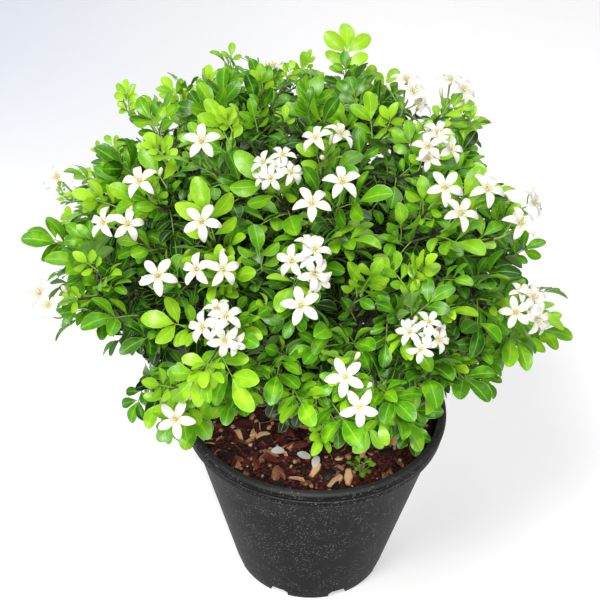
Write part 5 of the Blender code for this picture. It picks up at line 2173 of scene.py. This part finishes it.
class JASMINE_OT_litter(bpy.types.Operator):
    """Lays the dropped petals on the mix and sets the small weed in it"""
    bl_idname = "jasmine.litter"
    bl_label = "Dropped petals and weed"

    def execute(self, context):
        lumps = grown_plant()["lumps"]
        rng = random.Random(FOLIAGE_SEED + 3)
        shapes = bloom_shapes()
        bed = Bed()
        for pixel in PHOTO_DROPPED:
            place = on_mix(pixel, lumps)
            ahead = on_circle(rng.uniform(0, 2 * math.pi), 1.0, 0.25)
            upper = UP + (PHOTO_EYE - place).normalized()
            bed.blade(place + UP * 0.0085 - ahead * 0.006, ahead, upper, DROPPED_PETAL,
                      rng.randrange(HEART_SHAPE))
        petals = grown_piece("dropped_petals", bed, shapes, petal_finish(), twig_finish())
        drop_shapes(shapes)
        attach(petals, BODY)
        shapes = leaflet_shapes("weed")
        bed = Bed()
        root = on_mix(PHOTO_WEED, lumps)
        for number in range(WEED_LEAVES):
            out = on_circle(number * GOLDEN_TURN)
            height = 0.006 + 0.010 * rng.random()
            top = root + out * (0.003 + 0.0007 * number) + UP * height
            bed.stem(bend(root + out * 0.001, UP, top, (out + UP).normalized(), 4), [0.0005, 0.0003], 0.1)
            length = rng.uniform(0.005, 0.009)
            bed.blade(top, out + UP * 0.2, UP, (length, length * 1.2, length), number % len(LEAFLET_MODELS),
                      age=rng.uniform(0.25, 0.5), tint=rng.random())
        weed = grown_piece("weed_clump", bed, shapes, leaf_finish(), twig_finish())
        drop_shapes(shapes)
        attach(weed, BODY)
        return {"FINISHED"}


def on_mix(pixel, lumps):
    """Where a pixel's ray meets the mix's top."""
    ray = photo_ray(pixel)
    place = PHOTO_EYE + ray * ((MIX_LEVEL - PHOTO_EYE.z) / ray.z)
    place.z = MIX_LEVEL + mix_lump(lumps, place.x, place.y)
    return place


def backdrop():
    """The floor's corners and faces: level in front, then curved up into a wall."""
    outline = [(FLOOR_NEAR, 0.0), (FLOOR_FAR, 0.0)]
    for step in range(1, CURVE_STEPS + 1):
        turn = step * math.pi / (2 * CURVE_STEPS)
        outline.append((FLOOR_FAR + BACKDROP_CURVE * math.sin(turn), BACKDROP_CURVE * (1 - math.cos(turn))))
    outline.append((FLOOR_FAR + BACKDROP_CURVE, BACKDROP_HEIGHT))
    corners = [(x, y, z) for y, z in outline for x in (-FLOOR_HALF, FLOOR_HALF)]
    return corners, [(i, i + 1, i + 3, i + 2) for i in range(0, len(corners) - 2, 2)]


def aim_lamp(lamp, place, target):
    """Stands a lamp at a place, turned to a target."""
    holder = bpy.data.objects.new(lamp.name, lamp)
    holder.location = place
    holder.rotation_euler = (target - place).to_track_quat("-Z", "Y").to_euler()
    bpy.context.scene.collection.objects.link(holder)


class JASMINE_OT_stage(bpy.types.Operator):
    """Sets the pale floor, the soft lights and the camera at the photograph's angle"""
    bl_idname = "jasmine.stage"
    bl_label = "Stage"

    def execute(self, context):
        settings = context.scene.jasmine_stage
        floor = add_object("pale_floor", *backdrop(), floor_finish())
        floor.data.shade_smooth()
        world = bpy.data.worlds.new("soft_room")
        world.use_nodes = True
        room = world.node_tree.nodes["Background"].inputs
        room["Color"].default_value = ROOM_COLOUR
        room["Strength"].default_value = ROOM_STRENGTH * settings.light
        context.scene.world = world
        for name, place, size, power in LAMPS:
            lamp = bpy.data.lights.new(name, "AREA")
            lamp.size = size
            lamp.energy = power * settings.light
            aim_lamp(lamp, Vector(place), CROWN_CENTRE)
        low = bpy.data.lights.new("mix_light", "SPOT")
        low.spot_size = MIX_LAMP_CONE
        low.spot_blend = MIX_LAMP_EDGE
        low.shadow_soft_size = MIX_LAMP_RADIUS
        low.energy = MIX_LAMP_POWER * settings.light
        aim_lamp(low, Vector(MIX_LAMP_PLACE), Vector(MIX_LAMP_TARGET))
        camera = bpy.data.cameras.new("photo_camera")
        camera.sensor_width = SENSOR
        camera.lens = SENSOR * PHOTO_FOCAL / (2 * PHOTO_MIDDLE)
        holder = bpy.data.objects.new("photo_camera", camera)
        look = Matrix.Rotation(math.pi / 2 - PHOTO_PITCH, 4, "X") @ Matrix.Rotation(PHOTO_ROLL, 4, "Z")
        holder.matrix_world = Matrix.Translation(PHOTO_EYE) @ look
        context.scene.collection.objects.link(holder)
        context.scene.camera = holder
        context.scene.view_settings.view_transform = "Standard"
        return {"FINISHED"}


OPERATORS = (JASMINE_OT_pot, JASMINE_OT_mix, JASMINE_OT_stems, JASMINE_OT_sprays, JASMINE_OT_blooms,
             JASMINE_OT_litter, JASMINE_OT_stage)


class JASMINE_PT_panel(bpy.types.Panel):
    """Lists the pieces and their sizes and colours"""
    bl_idname = "JASMINE_PT_panel"
    bl_label = "Potted orange jasmine"
    bl_space_type = "VIEW_3D"
    bl_region_type = "UI"
    bl_category = "Jasmine"

    def draw(self, context):
        for name, group in SETTINGS.items():
            box = self.layout.box()
            settings = getattr(context.scene, name)
            for label in group.__annotations__:
                box.prop(settings, label)
        for operator in OPERATORS:
            self.layout.operator(operator.bl_idname)


def register():
    for name, group in SETTINGS.items():
        bpy.utils.register_class(group)
        setattr(bpy.types.Scene, name, PointerProperty(type=group))
    for kind in (*OPERATORS, JASMINE_PT_panel):
        bpy.utils.register_class(kind)


def unregister():
    for kind in reversed((*OPERATORS, JASMINE_PT_panel)):
        bpy.utils.unregister_class(kind)
    for name, group in SETTINGS.items():
        delattr(bpy.types.Scene, name)
        bpy.utils.unregister_class(group)


def main():
    register()
    for operator in OPERATORS:
        getattr(bpy.ops.jasmine, operator.bl_idname.split(".")[1])()
    bpy.context.view_layer.update()


if __name__ == "__main__":
    main()
